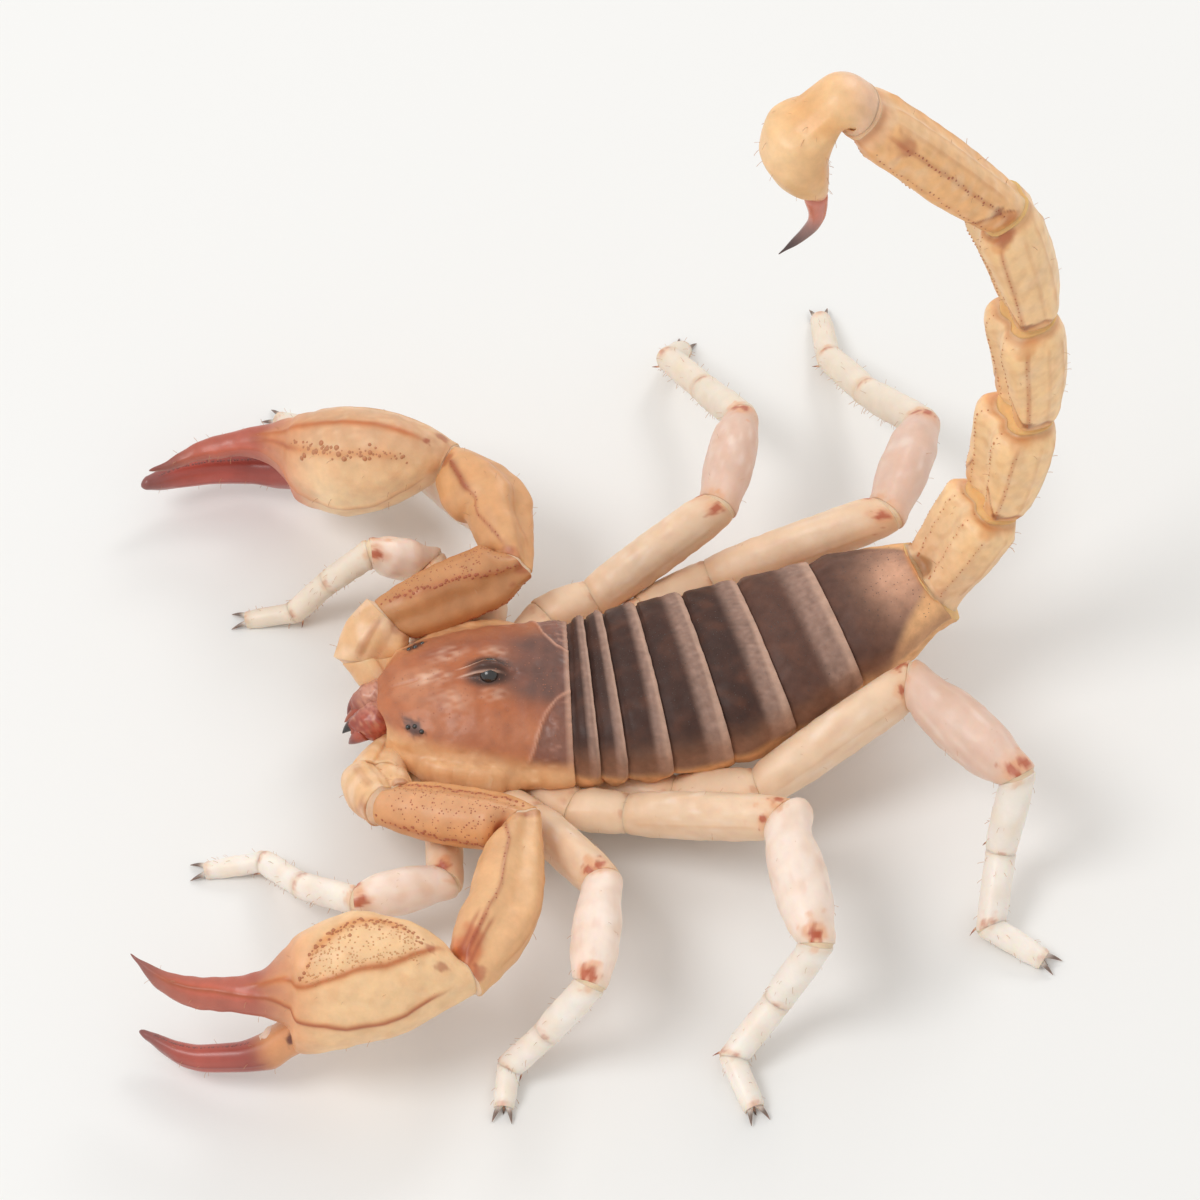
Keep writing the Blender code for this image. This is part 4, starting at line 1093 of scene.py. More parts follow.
# By side: two granulated lines along the femur, the low and the high line of the field between
# them, and the keel along the patella.
ARM_LINES = {
    1.0: (((0, -14), (0.5, -6), (0.95, -14)), ((0, 108), (0.5, 112), (1, 122)),
          ((0, -4), (1, -4)), ((0, 100), (1, 112)),
          ((0, 60), (0.2, 34), (0.6, 30), (0.9, 38))),
    -1.0: (((0, -68), (0.14, -56), (0.36, -48), (0.58, -44), (0.9, -20)), ((0, 62), (1, 62)),
           ((0, -150), (1, -150)), ((0, -60), (1, -40)),
           ((0, -62), (0.07, -69), (0.29, -98), (0.59, -93), (0.75, -87), (0.9, -80))),
}


def dress_arm(side, coxa, trochanter, femur, patella):
    """Keels, granules and rust marks of a pedipalp above its claw."""
    left = side > 0
    seed = 500 if left else 520
    *rows, low, high, bow = ARM_LINES[side]
    share = patella.share
    femur.paint(("#d79252" if left else "#b9743f", 0.72))
    patella.paint(("#d3935c", 0.2 if left else 0.6))
    if left:
        femur.lift(0.3 * femur.turned(112, 40) * bump(femur.share, 0.5, 0.4))
        femur.paint(("#dba27a", 0.6 * femur.turned(50, 60)))
    else:
        swell = patella.turned(-150, 45) * bump(share, 0.74, 0.24)
        patella.lift(0.75 * swell - 0.45 * patella.turned(0, 55) * bump(share, 0.35, 0.25))
    for row in rows:
        keels(femur, (row, 0.02, 0.97, 0.24, 0.06, KEEL, 0.5))
        grain_row("claw", femur, row, 0.02, 0.97, 0.2, 0.11, RUST, 0.09, seed)
    grain_field("claw", femur, (0.05, 0.95), low, high, 230, 0.065, RUST, seed + 1)
    keels(femur, *((angle, 0.05, 0.95, 0.12, 0.06, KEEL, 0.3) for angle in (-100, 168)))
    for angle in (48, -46):
        keels(trochanter, (angle, 0.1, 0.9, 0.14, 0.08, RUST, 0.4))
        grain_row("claw", trochanter, angle, 0.15, 0.9, 0.3, 0.08, RUST, 0.05, seed + 2)
    if left:
        blots(patella, (0.92, 44, 1.6, "#c86a3a", 0.8), (0.95, 50, 0.7, RUST, 0.7))
        keels(patella, *((((0.7, turn - 10), (1, turn)), 0.68, 1.05, 0.16, 0.03, RUST, 0.6)
                         for turn in (26, 40, 54)))
        blots(patella, (0.98, -18, 0.6, RUST, 0.6))
    else:
        patella.shift(bump(share, 0.42, 0.34), ARM_BOW)
        trochanter.lift(0.6 * trochanter.facing(-0.5, -1, 0.2))
        keels(patella, (bow, 0.55, 0.95, 0.26, 0.05, "#8f4424", 0.7))
        blots(patella, (0.97, -84, 0.8, RUST, 0.6))
    keels(patella, (bow, 0.02, 0.97, 0.13, 0.08, RUST, 0.6),
          *(([(place, angle + offset) for place, angle in bow], 0.06, 0.94, 0.13, 0.06, KEEL, 0.3)
            for offset in (88, 160, -88)))
    grain_row("claw", patella, bow, 0.1, 0.9, 0.45, 0.06, RUST, 0.08, seed + 3)
    views = ((side, -0.4, 0.6), (0.8, 0.3, 0.6))
    for shell, place, width, strength in ((trochanter, 1, 0.9, 0.55), (femur, 1, 0.9, 0.55),
                                          (patella, 0, 0.7, 0.45)):
        joint_spot(shell, place, views, RUST, width, strength)
    if left:
        trochanter.lift(0.5 * trochanter.facing(-0.2, -1, 0.2))
        coxa.lift(0.45 * coxa.facing(0.3, -0.4, 0.6))
    coxa.lift(0.5 * coxa.facing(0, 1, 0.3))
    trochanter.lift(0.35 * trochanter.facing(0, 1, 0.2))
    for shell in (coxa, trochanter):
        shell.paint(("#f0ceae", 0.6 * eased(shell.cloud(1.6, seed + 9), -0.4, 0.9)))
    for index, shell in enumerate((trochanter, femur, patella)):
        add_hairs("claw", shell, 16, (0.05, 0.95), ALL_ROUND, 0.45, 0.6, seed + 5 + index)


CLAW_FINER = 0.8         # spacing of a claw's points against the rest
PALM_SPAN = (1, 4)       # sections of the palm's solid that give its axis
DIGIT_ROOT = 7           # section of the palm's solid where the fixed finger starts


def build_claw(letter, spacing, straw, red):
    """A palm with its fixed finger, and the movable finger."""
    name = f"pedipalp_{letter}"
    left = letter == "L"
    rings = sections(f"{name}_palm", f"{name}_patella")
    digits = sections(f"{name}_movable_finger", f"{name}_palm")
    axis = axis_between(*(rings[index] for index in PALM_SPAN))
    away = square_to(axis, rings[DIGIT_ROOT].mean(0) - digits[0].mean(0))
    palm = straight(rings, away, spacing * CLAW_FINER, TONES["claw"])
    # The finger's root reaches back into its socket in the palm.
    middle = digits[0].mean(0)
    root = middle + (middle - digits[1].mean(0)) * 0.7 + (digits[0] - middle) * 1.1
    finger = straight([root] + digits, away, spacing * CLAW_FINER, TONES["finger"])
    finger.lift(0.12 + (0.12 if left else 0.5) * finger.turned(0, 70))
    finger.shift(1, away * (0.12 if left else 0.72))
    share = palm.share
    wrist = faded(share, 0.02, 0.24)
    tip = eased(share, 0.55, 1)
    palm.lift(0.36 * palm.turned(-120, 60) * faded(share, 0.42, 0.55) * (1 - wrist))
    palm.lift(-0.4 * palm.turned(-110, 55) * wrist + 0.04 * palm.cloud(1.6, 240))
    if left:
        palm.shift(-0.45 * tip, palm.axis)
        palm.shift(0.42 * bump(share, 0.74, 0.18), away)
        palm.lift(0.3 * palm.turned(-160, 55) * bump(share, 0.28, 0.22))
        palm.lift(0.3 * palm.turned(30, 50) * bump(share, 0.42, 0.14))
        finger.shift(-0.75 * eased(finger.share, 0.55, 1), finger.axis)
    else:
        digit = eased(share, 0.52, 0.76) * (1 - 0.5 * eased(share, 0.85, 1))
        palm.lift(-0.55 * palm.turned(180, 75) * digit)
        palm.shift(-1.3 * tip, palm.axis)
        palm.shift(0.15 + 0.75 * eased(share, 0.45, 0.68) - 0.4 * eased(share, 0.82, 1), away)
        finger.shift(-0.35 * eased(finger.share, 0.75, 1), away)
    palm.lift(-0.16 * palm.radius * eased(share, 0.93, 1))
    finger.lift(-0.16 * finger.radius * eased(finger.share, 0.9, 1))
    dress_claw(letter, palm, finger)
    SHELLS[f"{name}_palm"] = palm
    SHELLS[f"{name}_finger"] = finger
    shell_piece(f"{name}_palm_shell", [palm], straw, "claw", f"{name}_palm", end=POINT)
    shell_piece(f"{name}_finger_shell", [finger], red, "finger", f"{name}_movable_finger", end=POINT)
    # Soft skin in the notch between the two fingers.
    start = palm.at([0.45], [180])[0][0] + away * 0.5
    end = finger.at([0.22], [0])[0][0] - away * 0.4
    web = limb([start, start * 0.6 + end * 0.4, start * 0.25 + end * 0.75, end],
               [(0.9, 1.1), (1.0, 1.3), (0.95, 1.1), (0.45, 0.5)], axis, "#eecbb6", 24, 20)
    web.lift(0.05 * web.cloud(0.6, 250))
    SHELLS[f"{name}_web"] = web


# Lines of each claw as places along it and angles round it: the keel by the crest, the keel low on
# the outside, and the row of granules.
CLAW_LINES = {
    "L": (((0.05, 8), (0.12, -18), (0.171, -30), (0.223, -38), (0.337, -42), (0.42, -40),
           (0.51, -34), (0.6, -20)),
          ((0.03, -66), (0.063, -80), (0.17, -103), (0.23, -107), (0.337, -107), (0.44, -92),
           (0.526, -80), (0.577, -58), (0.663, -46), (0.737, -32), (1, -30)),
          ((0.12, -6), (0.143, 0), (0.183, 6), (0.251, 10), (0.366, 0), (0.423, -10), (0.46, -26))),
    "R": (((0.05, 2), (0.18, 7), (0.3, 7), (0.43, 0), (0.54, -2), (0.7, -10)),
          ((0.05, -80), (0.2, -104), (0.4, -96), (0.5, -70), (0.6, -50), (1, -36)),
          ((0.1, -29), (0.19, -24), (0.274, -26), (0.377, -24), (0.46, -21))),
}


def dress_claw(letter, palm, finger):
    """Colours, keels and granules of a claw."""
    crest, outside, row = CLAW_LINES[letter]
    left = letter == "L"
    seed = 600 if left else 620
    share, along = palm.share, finger.share
    red = eased(share, 0.47, 0.62)
    # A pale tint all over the left palm. On the right palm the pale wash covers the underside, which faces
    # down into shade: painted light.
    palm.paint(("#ffe2b8", 0.22 if left else 0.95 * palm.turned(-115, 75)),
               ("#bf8d72", (0 if left else 0.6) * palm.turned(8, 40)))
    palm.mottle((1.8, "#e0a877", 0.3, 241), (0.7, "#f3cfa4", 0.25, 243))
    palm.paint(("#dd9462", 0.6 * bump(share, 0.5, 0.07)),
               (TONES["finger"], red * 0.9),
               ("#c0604e", 0.4 * bump(share, 0.72, 0.2)),
               ("#86433a", 0.4 * red * eased(palm.turned(150, 70), 0.2, 0.9)),
               (FINGER_TIP, 0.75 * eased(share, 0.85, 1)))
    keels(palm,
          (crest, 0.04, 0.62, 0.34, 0.04, "#e0985c", 0.7),
          (crest, 0.04, 0.66, 0.2, 0.06, KEEL, 0.8 if left else 0.75),
          (outside, 0.03, 0.62, 0.34, 0.04, "#e0985c", 0.6 if left else 0.3),
          (outside, 0.56, 0.9, 0.42, 0.02, "#db6a50", 0.65 if left else 0.4),
          (outside, 0.03, 0.96, 0.2, 0.08, "#a5512c", 0.85 if left else 0.25),
          *((angle, 0.05, 0.5, 0.2, 0.06, KEEL, 0.45) for angle in (48, 96, 140)))
    if left:
        low = [(place, angle - 1) for place, angle in crest[2:7]]
        keels(palm, (row, 0.12, 0.48, 0.4, 0.03, "#dd9150", 0.8))
        grain_row("trunk", palm, row, 0.12, 0.47, 0.18, 0.12, "#a8562a", 0.16, seed)
        grain_row("trunk", palm, row, 0.12, 0.47, 0.4, 0.15, "#a8562a", 0.1, seed + 9)
        grain_field("trunk", palm, (0.13, 0.45), low, row[1:], 300, 0.075, "#c9864f", seed + 1)
        blots(palm, (0.07, -30, 0.5, RUST, 0.6), (0.1, -8, 0.4, RUST, 0.6))
    else:
        grain_row("trunk", palm, row, 0.1, 0.46, 0.16, 0.13, "#b0602f", 0.2, seed)
        grain_row("trunk", palm, row, 0.2, 0.42, 0.3, 0.19, "#b0602f", 0.14, seed + 1)
        keels(palm, (row, 0.08, 0.62, 0.34, 0.04, "#dc8f52", 0.6),
              (row, 0.4, 0.66, 0.18, 0.05, "#b0603c", 0.75))
        blots(palm, (0.057, 2, 0.32, RUST, 0.8), (0.025, 30, 0.5, RUST, 0.6))
        palm.paint(("#bf5f4a", 0.8 * bump(share, 0.5, 0.09) * palm.turned(-120, 60)))
        # A brighter red on the right movable finger, partly its own colour and partly painted light that
        # offsets the shade it lies in.
        finger.paint(("#b8483c", 0.6))
    palm.gloss += 0.2 * palm.cloud(1.2, 242) + 0.2 * red
    finger.paint(("#e0a06c" if left else FINGER, 0.9 * faded(along, 0.16, 0.34)))
    blots(finger, (0.05, -60, 0.5, "#5a241d", 0.9))
    finger.paint(("#8a4038", 0.5 * bump(along, 0.35, 0.12)),
                 ("#c25a4a", 0.45 * bump(along, 0.62, 0.22)),
                 (FINGER_TIP, 0.8 * eased(along, 0.7, 1)))
    finger.gloss += 0.25
    keels(finger, *((angle, 0.2, 0.85, 0.12, 0.05, "#8e4239", 0.6) for angle in (-88, 88)))
    # Biting edges: a row of fine teeth on each finger.
    grain_row("trunk", palm, 180, 0.58, 0.95, 0.24, 0.09, FINGER_TIP, 0.02, seed + 3)
    grain_row("trunk", finger, 0, 0.3, 0.92, 0.24, 0.09, FINGER_TIP, 0.02, seed + 4)
    add_hairs("claw", palm, 50, (0.02, 0.95), ALL_ROUND, 0.45, 0.6, seed + 5)
    add_hairs("claw", finger, 16, (0.2, 0.95), ALL_ROUND, 0.4, 0.6, seed + 6)


# ---------------------------------------------------------------- legs
def whole_ring(corners, axis, up):
    """A leg's section made whole again from its upper half, where the floor has cut it."""
    across = corners @ np.cross(axis, up)
    centre = (corners[across.argmax()] + corners[across.argmin()]) / 2
    upper = corners[(corners - centre) @ up > -0.05]
    return np.concatenate((upper, 2.0 * centre - upper[(upper - centre) @ up > 0.05]))


THIGH_CUTS = (0, 3, 6, 10)       # sections of the thigh's solid between coxa, trochanter and femur
FOOT_CUTS = (0, 3, 6)            # and of the foot's solid between tibia, basitarsus and telotarsus
TOE_REACH = (0.36, 0.35)         # toe past its solid: part of the last length, and mm
TOE_SIZE = 0.82


def leg_rings(name):
    """Sections of a leg's seven segments, from the body to the toe."""
    thigh = sections(f"{name}_femur", f"{name}_patella")[::-1]
    shin = sections(f"{name}_patella", f"{name}_femur")
    foot = sections(f"{name}_foot", f"{name}_patella")[:9]
    axis = axis_between(foot[6], foot[7])
    up = square_to(axis, UP)
    tip = [whole_ring(corners, axis, up) for corners in foot[7:9]]
    run = tip[1].mean(0) - tip[0].mean(0)
    toe = tip[1] + run * TOE_REACH[0] + unit(run) * TOE_REACH[1]
    toe = toe.mean(0) + (toe - toe.mean(0)) * TOE_SIZE
    return (split_chain(thigh, THIGH_CUTS) + [shin] + split_chain(foot[:7], FOOT_CUTS)
            + [[foot[6]] + tip + [toe]])


SOLE = 0.03              # height of the soles over the floor
# How far each foot stands from its solid's place.
FOOT_REACH = {"leg_R4": (0.12, -0.45, 0.0), "leg_R3": (0.2, -0.4, 0.0), "leg_L3": (0.0, -0.6, 0.0),
              "leg_L4": (0.0, -0.45, 0.0), "leg_L2": (0.0, -0.3, 0.0), "leg_L1": (0.0, -0.35, 0.0)}
DARK_KNEES = {"leg_R3": 0.75, "leg_R4": 0.75, "leg_L4": 0.65}   # pinker in the swollen segment
# Each segment of a leg: its name, how much it is trimmed at its start and at its end, how far it
# swells from its solid, the width and strength of the spot on its hinge, and how many hairs it has.
LEG_PARTS = (
    ("coxa", 0.0, 0.1, 0.1, 0.3, 0.2, 0),
    ("trochanter", 0.1, 0.1, 0.12, 0.36, 0.3, 3),
    ("femur", 0.1, 0.0, 0.17, 0.42, 0.85, 8),
    ("patella", 0.0, 0.0, 0.22, 0.42, 0.85, 10),
    ("tibia", 0.0, 0.08, 0.15, 0.3, 0.4, 16),
    ("basitarsus", 0.08, 0.08, 0.12, 0.3, 0.45, 18),
    ("telotarsus", 0.08, 0.0, 0.1, 0.26, 0.2, 16),
)
JOINT_VIEWS = ((0.6, -0.1, 0.79), (-0.6, -0.1, 0.79))


def build_leg(name, spacing, material):
    groups = leg_rings(name)
    shells = []
    seed = sum(name.encode())
    width_before = strength_before = 0.0
    for index, (rings, (_, up), sizes) in enumerate(zip(groups, chain_frames(groups, UP), LEG_PARTS)):
        part, trim_start, trim_end, swell, width, strength, hairs = sizes
        foot = index > 3
        knee = part == "patella"
        ground = TONES["feet"] if foot else PINK_LEG if knee else PALE_LEG
        shell = straight(rings, up, spacing, ground, (trim_start, trim_end))
        share = shell.share
        wide = 0.22 if knee and name in ("leg_L3", "leg_L4") else 0.0
        shell.lift(swell + wide * bump(share, 0.5, 0.4) + 0.03 * shell.cloud(1.3, seed + index))
        shell.mottle((1.9, "#f0d9bd" if foot else "#ddb48f", 0.3, seed + 10 + index))
        if knee:
            shell.paint(("#d9b09a", DARK_KNEES.get(name, 0.0)))
        if foot and "R" in name:
            shell.paint(("#e3d2bb", 0.6))
        if part in ("femur", "patella"):
            drawn = shell.points - shell.axis * (shell.points @ shell.axis)[..., None] * 0.7
            streaks = waves(drawn, 0.7, seed + 5)
            shell.paint(("#fbf0e8", 0.35 * eased(streaks, 0, 1.5) * bump(share, 0.5, 0.35)),
                        ("#d9ab97", 0.3 * eased(-streaks, 0.2, 1.5) * bump(share, 0.6, 0.35)))
        shell.paint(("#e2b088", 0.3 * (bump(share, 0, 0.08) + bump(share, 1, 0.08))))
        shell.lift(0.06 * (bump(share, 0.96, 0.04) + bump(share, 0.04, 0.04)))
        joint_spot(shell, 0.97, JOINT_VIEWS, HALO, width * 1.9, strength * 0.5)
        joint_spot(shell, 0.97, JOINT_VIEWS, SPOT, width, strength)
        if knee or foot:
            joint_spot(shell, 0, JOINT_VIEWS, HALO, width_before, strength_before * 0.5)
        width_before, strength_before = width, strength
        if part == "femur":
            keels(shell, *((angle, 0.05, 0.95, 0.12, 0.05, "#d9a878", 0.35) for angle in (-70, 70)))
        shell.gloss += 0.2 * shell.cloud(1.4, seed + 20 + index)
        if foot:
            stride = eased(share, 0, 1) if part == "tibia" else 1
            shell.shift(stride, np.array(FOOT_REACH.get(name, (0.0, 0.0, 0.0))))
        if knee and name == "leg_L3":
            shell.lift(0.6 * bump(share, 0.03, 0.075) * shell.facing(-0.2, 1, 0.1))
        keep_above([bare(shell)], SOLE)
        SHELLS[f"{name}_{part}"] = shell
        shells.append(shell)
        add_hairs("leg", shell, hairs, (0.08, 0.97), ALL_ROUND, 0.38, 0.7, seed + 30 + index)
        if foot:
            add_hairs("leg", shell, 20, (0.08, 0.97), (140, 220), 0.5, 0.6, seed + 40 + index)
    shell_piece(f"{name}_femur_shell", shells[:3], material, "leg", f"{name}_femur")
    shell_piece(f"{name}_patella_shell", shells[3:4], material, "leg", f"{name}_patella")
    grids = [lipped(shell) for shell in shells[4:]] + toe_claws(shells[6]) + spurs(shells)
    keep_above(grids, SOLE)
    grid_piece(f"{name}_foot_shell", grids, material, "leg", f"{name}_foot")


def keep_above(grids, floor):
    for points, _, _ in grids:
        points[..., 2] = np.maximum(points[..., 2], floor)


def toe_claws(toe):
    """Two curved claws at a leg's tip, and the short heel claw between them."""
    end = toe.points[-1].mean(0)
    side = unit(np.cross(toe.axis, UP))
    level = unit(toe.axis * (1.0, 1.0, 0.0))
    grids = [horn(end + side * turn * 0.24 - level * 0.25, level + side * turn * 0.36 + UP * 0.25,
                  level * 0.3 - UP, 1.35, 0.27, "#efe2d6", "#75665d", 12) for turn in (-1, 1)]
    return grids + [horn(end - UP * 0.15 - level * 0.1, level - UP * 0.4, -UP, 0.55, 0.13, "#a98670",
                         "#3a2c27")]


def spurs(shells):
    """Short spines under the ends of the shin and the first foot joint."""
    grids = []
    for shell, turns in ((shells[4], (150,)), (shells[5], (120, -120))):
        for turn in turns:
            points, facing, _ = shell.at([0.96], [turn])
            grids.append(horn(points[0] - facing[0] * 0.1, facing[0] + shell.axis * 0.8,
                              shell.axis - UP * 0.2, 0.6, 0.1, "#d9a889", "#7a3f2c", 8))
    return grids


# ---------------------------------------------------------------- soft skin in the joints
def build_skins(material):
    """Soft skin that closes the joints of the tail, the pedipalps and the legs."""
    def chain(names, *looks):
        shells = [SHELLS[name] for name in names]
        return [joint_skin(one, two, *looks) for one, two in zip(shells, shells[1:])]

    tail = chain(["mesosoma_7"] + RING_NAMES, 0.995, 0.05, "#ecb878")
    tail += chain(("metasoma_5", "vesicle"), 0.99, 0.06, "#efbf98")
    arms, feet = [], []
    for letter in SIDES:
        arms += chain([f"pedipalp_{letter}_{part}" for part in (*ARM_PARTS, "palm")], 0.95, 0.0, "#ecc4a4")
        arms.append(lipped(SHELLS[f"pedipalp_{letter}_web"]))
        for number in range(1, 5):
            feet += chain([f"leg_{letter}{number}_{sizes[0]}" for sizes in LEG_PARTS], 0.92)
    keep_above(feet, SOLE + 0.02)
    for part, grids in (("tail", tail), ("claw", arms), ("leg", feet)):
        grid_piece(f"{part}_joint_skin", grids, material, part)


# ---------------------------------------------------------------- granules, teeth and hairs
def node_group(name, numbers):
    """A node group with geometry in and out, a material and named sizes, and its input node."""
    tree = bpy.data.node_groups.new(name, "GeometryNodeTree")
    tree.interface.new_socket("Geometry", in_out="INPUT", socket_type="NodeSocketGeometry")
    tree.interface.new_socket("Geometry", in_out="OUTPUT", socket_type="NodeSocketGeometry")
    tree.interface.new_socket("Material", in_out="INPUT", socket_type="NodeSocketMaterial")
    for label, value in numbers.items():
        socket = tree.interface.new_socket(label, in_out="INPUT", socket_type="NodeSocketFloat")
        socket.default_value = value
    return tree, add_node(tree, "NodeGroupInput")


def stand_on_points(tree, entry, shape):
    """Copies of a shape on every point, turned to face and sized as the point says."""
    facing, size = (add_node(tree, "GeometryNodeInputNamedAttribute", {"data_type": kind}, {
        "Name": name}) for name, kind in (("facing", "FLOAT_VECTOR"), ("size", "FLOAT")))
    turn = add_node(tree, "FunctionNodeAlignRotationToVector", {"axis": "Z"}, {"Vector": facing})
    copies = add_node(tree, "GeometryNodeInstanceOnPoints", {}, {
        "Points": entry, "Instance": shape, "Rotation": turn, "Scale": size})
    return add_node(tree, "GeometryNodeRealizeInstances", {}, {"Geometry": copies})


def close_group(tree, entry, geometry):
    """End a node group with its material."""
    smooth = add_node(tree, "GeometryNodeSetShadeSmooth", {}, {"Geometry": geometry})
    dressed = add_node(tree, "GeometryNodeSetMaterial", {}, {
        "Geometry": smooth, "Material": entry.outputs["Material"]})
    add_node(tree, "NodeGroupOutput", {}, {"Geometry": dressed})
    return tree


def granule_group(name, height):
    """Domes as tall as the height says, for horny granules when low and comb teeth when tall."""
    tree, entry = node_group(name, {"Height": height})
    sphere = add_node(tree, "GeometryNodeMeshIcoSphere", {}, {"Radius": 1.0, "Subdivisions": 2})
    tall = add_node(tree, "ShaderNodeCombineXYZ", {}, {
        "X": 1.0, "Y": 1.0, "Z": entry.outputs["Height"]})
    dome = add_node(tree, "GeometryNodeTransform", {}, {"Geometry": sphere, "Scale": tall})
    return close_group(tree, entry, stand_on_points(tree, entry, dome))


def hair_group():
    """Bristles one unit long, curved and tapered, with the place of each root in their bake map."""
    tree, entry = node_group("hairs", {"Thickness": 0.028, "Droop": HAIR_DROOP, "Patch": 0.003})
    end = add_node(tree, "ShaderNodeCombineXYZ", {}, {
        "X": entry.outputs["Droop"], "Y": 0.0, "Z": HAIR_REACH})
    line = add_node(tree, "GeometryNodeCurveQuadraticBezier", {}, {
        "Resolution": 4, "Start": (0.0, 0.0, 0.0), "Middle": (0.0, 0.0, 0.5), "End": end})
    taper = add_node(tree, "ShaderNodeMapRange", {}, {
        "Value": add_node(tree, "GeometryNodeSplineParameter"), "To Min": 1.0, "To Max": 0.15})
    thin = add_node(tree, "GeometryNodeSetCurveRadius", {}, {"Curve": line, "Radius": taper})
    section = add_node(tree, "GeometryNodeCurvePrimitiveCircle", {}, {
        "Resolution": 5, "Radius": entry.outputs["Thickness"]})
    hair = add_node(tree, "GeometryNodeCurveToMesh", {}, {
        "Curve": thin, "Profile Curve": section, "Fill Caps": True})
    spot = add_node(tree, "ShaderNodeSeparateXYZ", {}, {
        "Vector": add_node(tree, "GeometryNodeInputPosition")})
    flat = add_node(tree, "ShaderNodeCombineXYZ", {}, {"X": spot.outputs["X"], "Y": spot.outputs["Z"]})
    small = add_node(tree, "ShaderNodeVectorMath", {"operation": "SCALE"}, {
        "Vector": flat, "Scale": entry.outputs["Patch"]})
    marked = add_node(tree, "GeometryNodeStoreNamedAttribute",
                      {"data_type": "FLOAT_VECTOR", "domain": "POINT"},
                      {"Geometry": hair, "Name": "patch", "Value": small})
    coat = stand_on_points(tree, entry, marked)
    patch, root = (add_node(tree, "GeometryNodeInputNamedAttribute", {"data_type": "FLOAT_VECTOR"}, {
        "Name": name}) for name in ("patch", "root"))
    place_on_map = add_node(tree, "ShaderNodeVectorMath", {"operation": "ADD"}, {0: patch, 1: root})
    mapped = add_node(tree, "GeometryNodeStoreNamedAttribute",
                      {"data_type": "FLOAT2", "domain": "CORNER"},
                      {"Geometry": coat, "Name": "OFBake", "Value": place_on_map})
    return close_group(tree, entry, mapped)


def scatter(name, tree, material, slot, points, facing, sizes, colours, roots=None):
    """A finished piece made of the group's shape on every point."""
    data = bpy.data.meshes.new(name)
    data.vertices.add(len(points))
    fill(data.vertices, "co", points * MM)
    stores = [("facing", "FLOAT_VECTOR", "vector", facing), ("size", "FLOAT", "value", sizes * MM)]
    if roots is not None:
        stores.append(("root", "FLOAT_VECTOR", "vector", np.pad(roots, ((0, 0), (0, 1)))))
    for label, kind, field, values in stores:
        fill(data.attributes.new(label, kind, "POINT").data, field, values)
    colour_points(data, colours, np.full(len(points), 0.6))
    seed = bpy.data.objects.new(f"{name}_points", data)
    bpy.context.scene.collection.objects.link(seed)
    modifier = seed.modifiers.new("grow", "NODES")
    modifier.node_group = tree
    sockets = {item.name: item.identifier for item in tree.interface.items_tree
               if item.in_out == "INPUT"}
    modifier[sockets["Material"]] = material
    bpy.context.view_layer.update()
    seen = seed.evaluated_get(bpy.context.evaluated_depsgraph_get())
    finished = bpy.data.meshes.new_from_object(seen)
    seed.modifiers.clear()
    bpy.data.objects.remove(seed, do_unlink=True)
    if not finished.polygons:
        raise RuntimeError(f"{name} came out empty")
    for label in ("facing", "size", "root", "patch"):
        if label in finished.attributes:
            finished.attributes.remove(finished.attributes[label])
    finished.name = name
    place(name, finished, material, slot)


def build_granules(material, height):
    tree = granule_group("granules", height)
    for part, slot in (("trunk", "carapace"), ("tail", "tail"), ("claw", "claw")):
        grains = (np.concatenate(column) for column in zip(*GRAINS[part]))
        scatter(f"{part}_granules", tree, material, slot, *grains)


def build_comb_teeth(material):
    """A row of close-set teeth along the hind edge of each comb."""
    tree = granule_group("comb_teeth", TOOTH_HEIGHT)
    shares = np.linspace(0.06, 0.96, COMB_TEETH)
    sizes = 0.115 * (1.0 - 0.45 * np.abs(shares - 0.4))
    for letter, side in SIDES.items():
        points, facing, tints = SHELLS[f"pecten_{letter}"].at(shares, np.full(COMB_TEETH, -90.0 * side))
        heading = units(facing * (1.0, 1.0, 0.2) + (side * 0.35, 0.3, 0.0))
        scatter(f"pecten_{letter}_teeth", tree, material, "belly", points + heading * 0.22, heading,
                sizes, tints + (srgb("#f2d9bb") - tints) * 0.6)


def build_hairs(material, length):
    tree = hair_group()
    for part in ("leg", "claw", "tail"):
        points, facing, sizes, roots = (np.concatenate(column) for column in zip(*HAIRS[part]))
        colours = np.ones(points.shape) * srgb("#c99a74")
        scatter(f"{part}_hairs", tree, material, part, points, facing, sizes * length, colours, roots)


# ---------------------------------------------------------------- stage
SENSOR = 36.0            # width of a full-frame camera's sensor
NEAR_CLIP = 0.01         # metres
CAMERA_TARGET = Vector((-1.26, 2.225, 12.99))
CAMERA_DISTANCE = 450.0
CAMERA_AZIMUTH = math.radians(79.5)
CAMERA_ELEVATION = math.radians(52.0)
FRAME_WIDTH = 84.0       # width of the view at the target
FLOOR_HALF = 1.5         # metres


def put(name, data, place_mm=(0.0, 0.0, 0.0), turn=None):
    """An object in the scene, at a place and, for a lamp or a camera, looking against a vector."""
    thing = bpy.data.objects.new(name, data)
    thing.location = Vector(place_mm) * MM
    if turn is not None:
        thing.rotation_euler = turn.to_track_quat("Z", "Y").to_euler()
    bpy.context.scene.collection.objects.link(thing)
    return thing


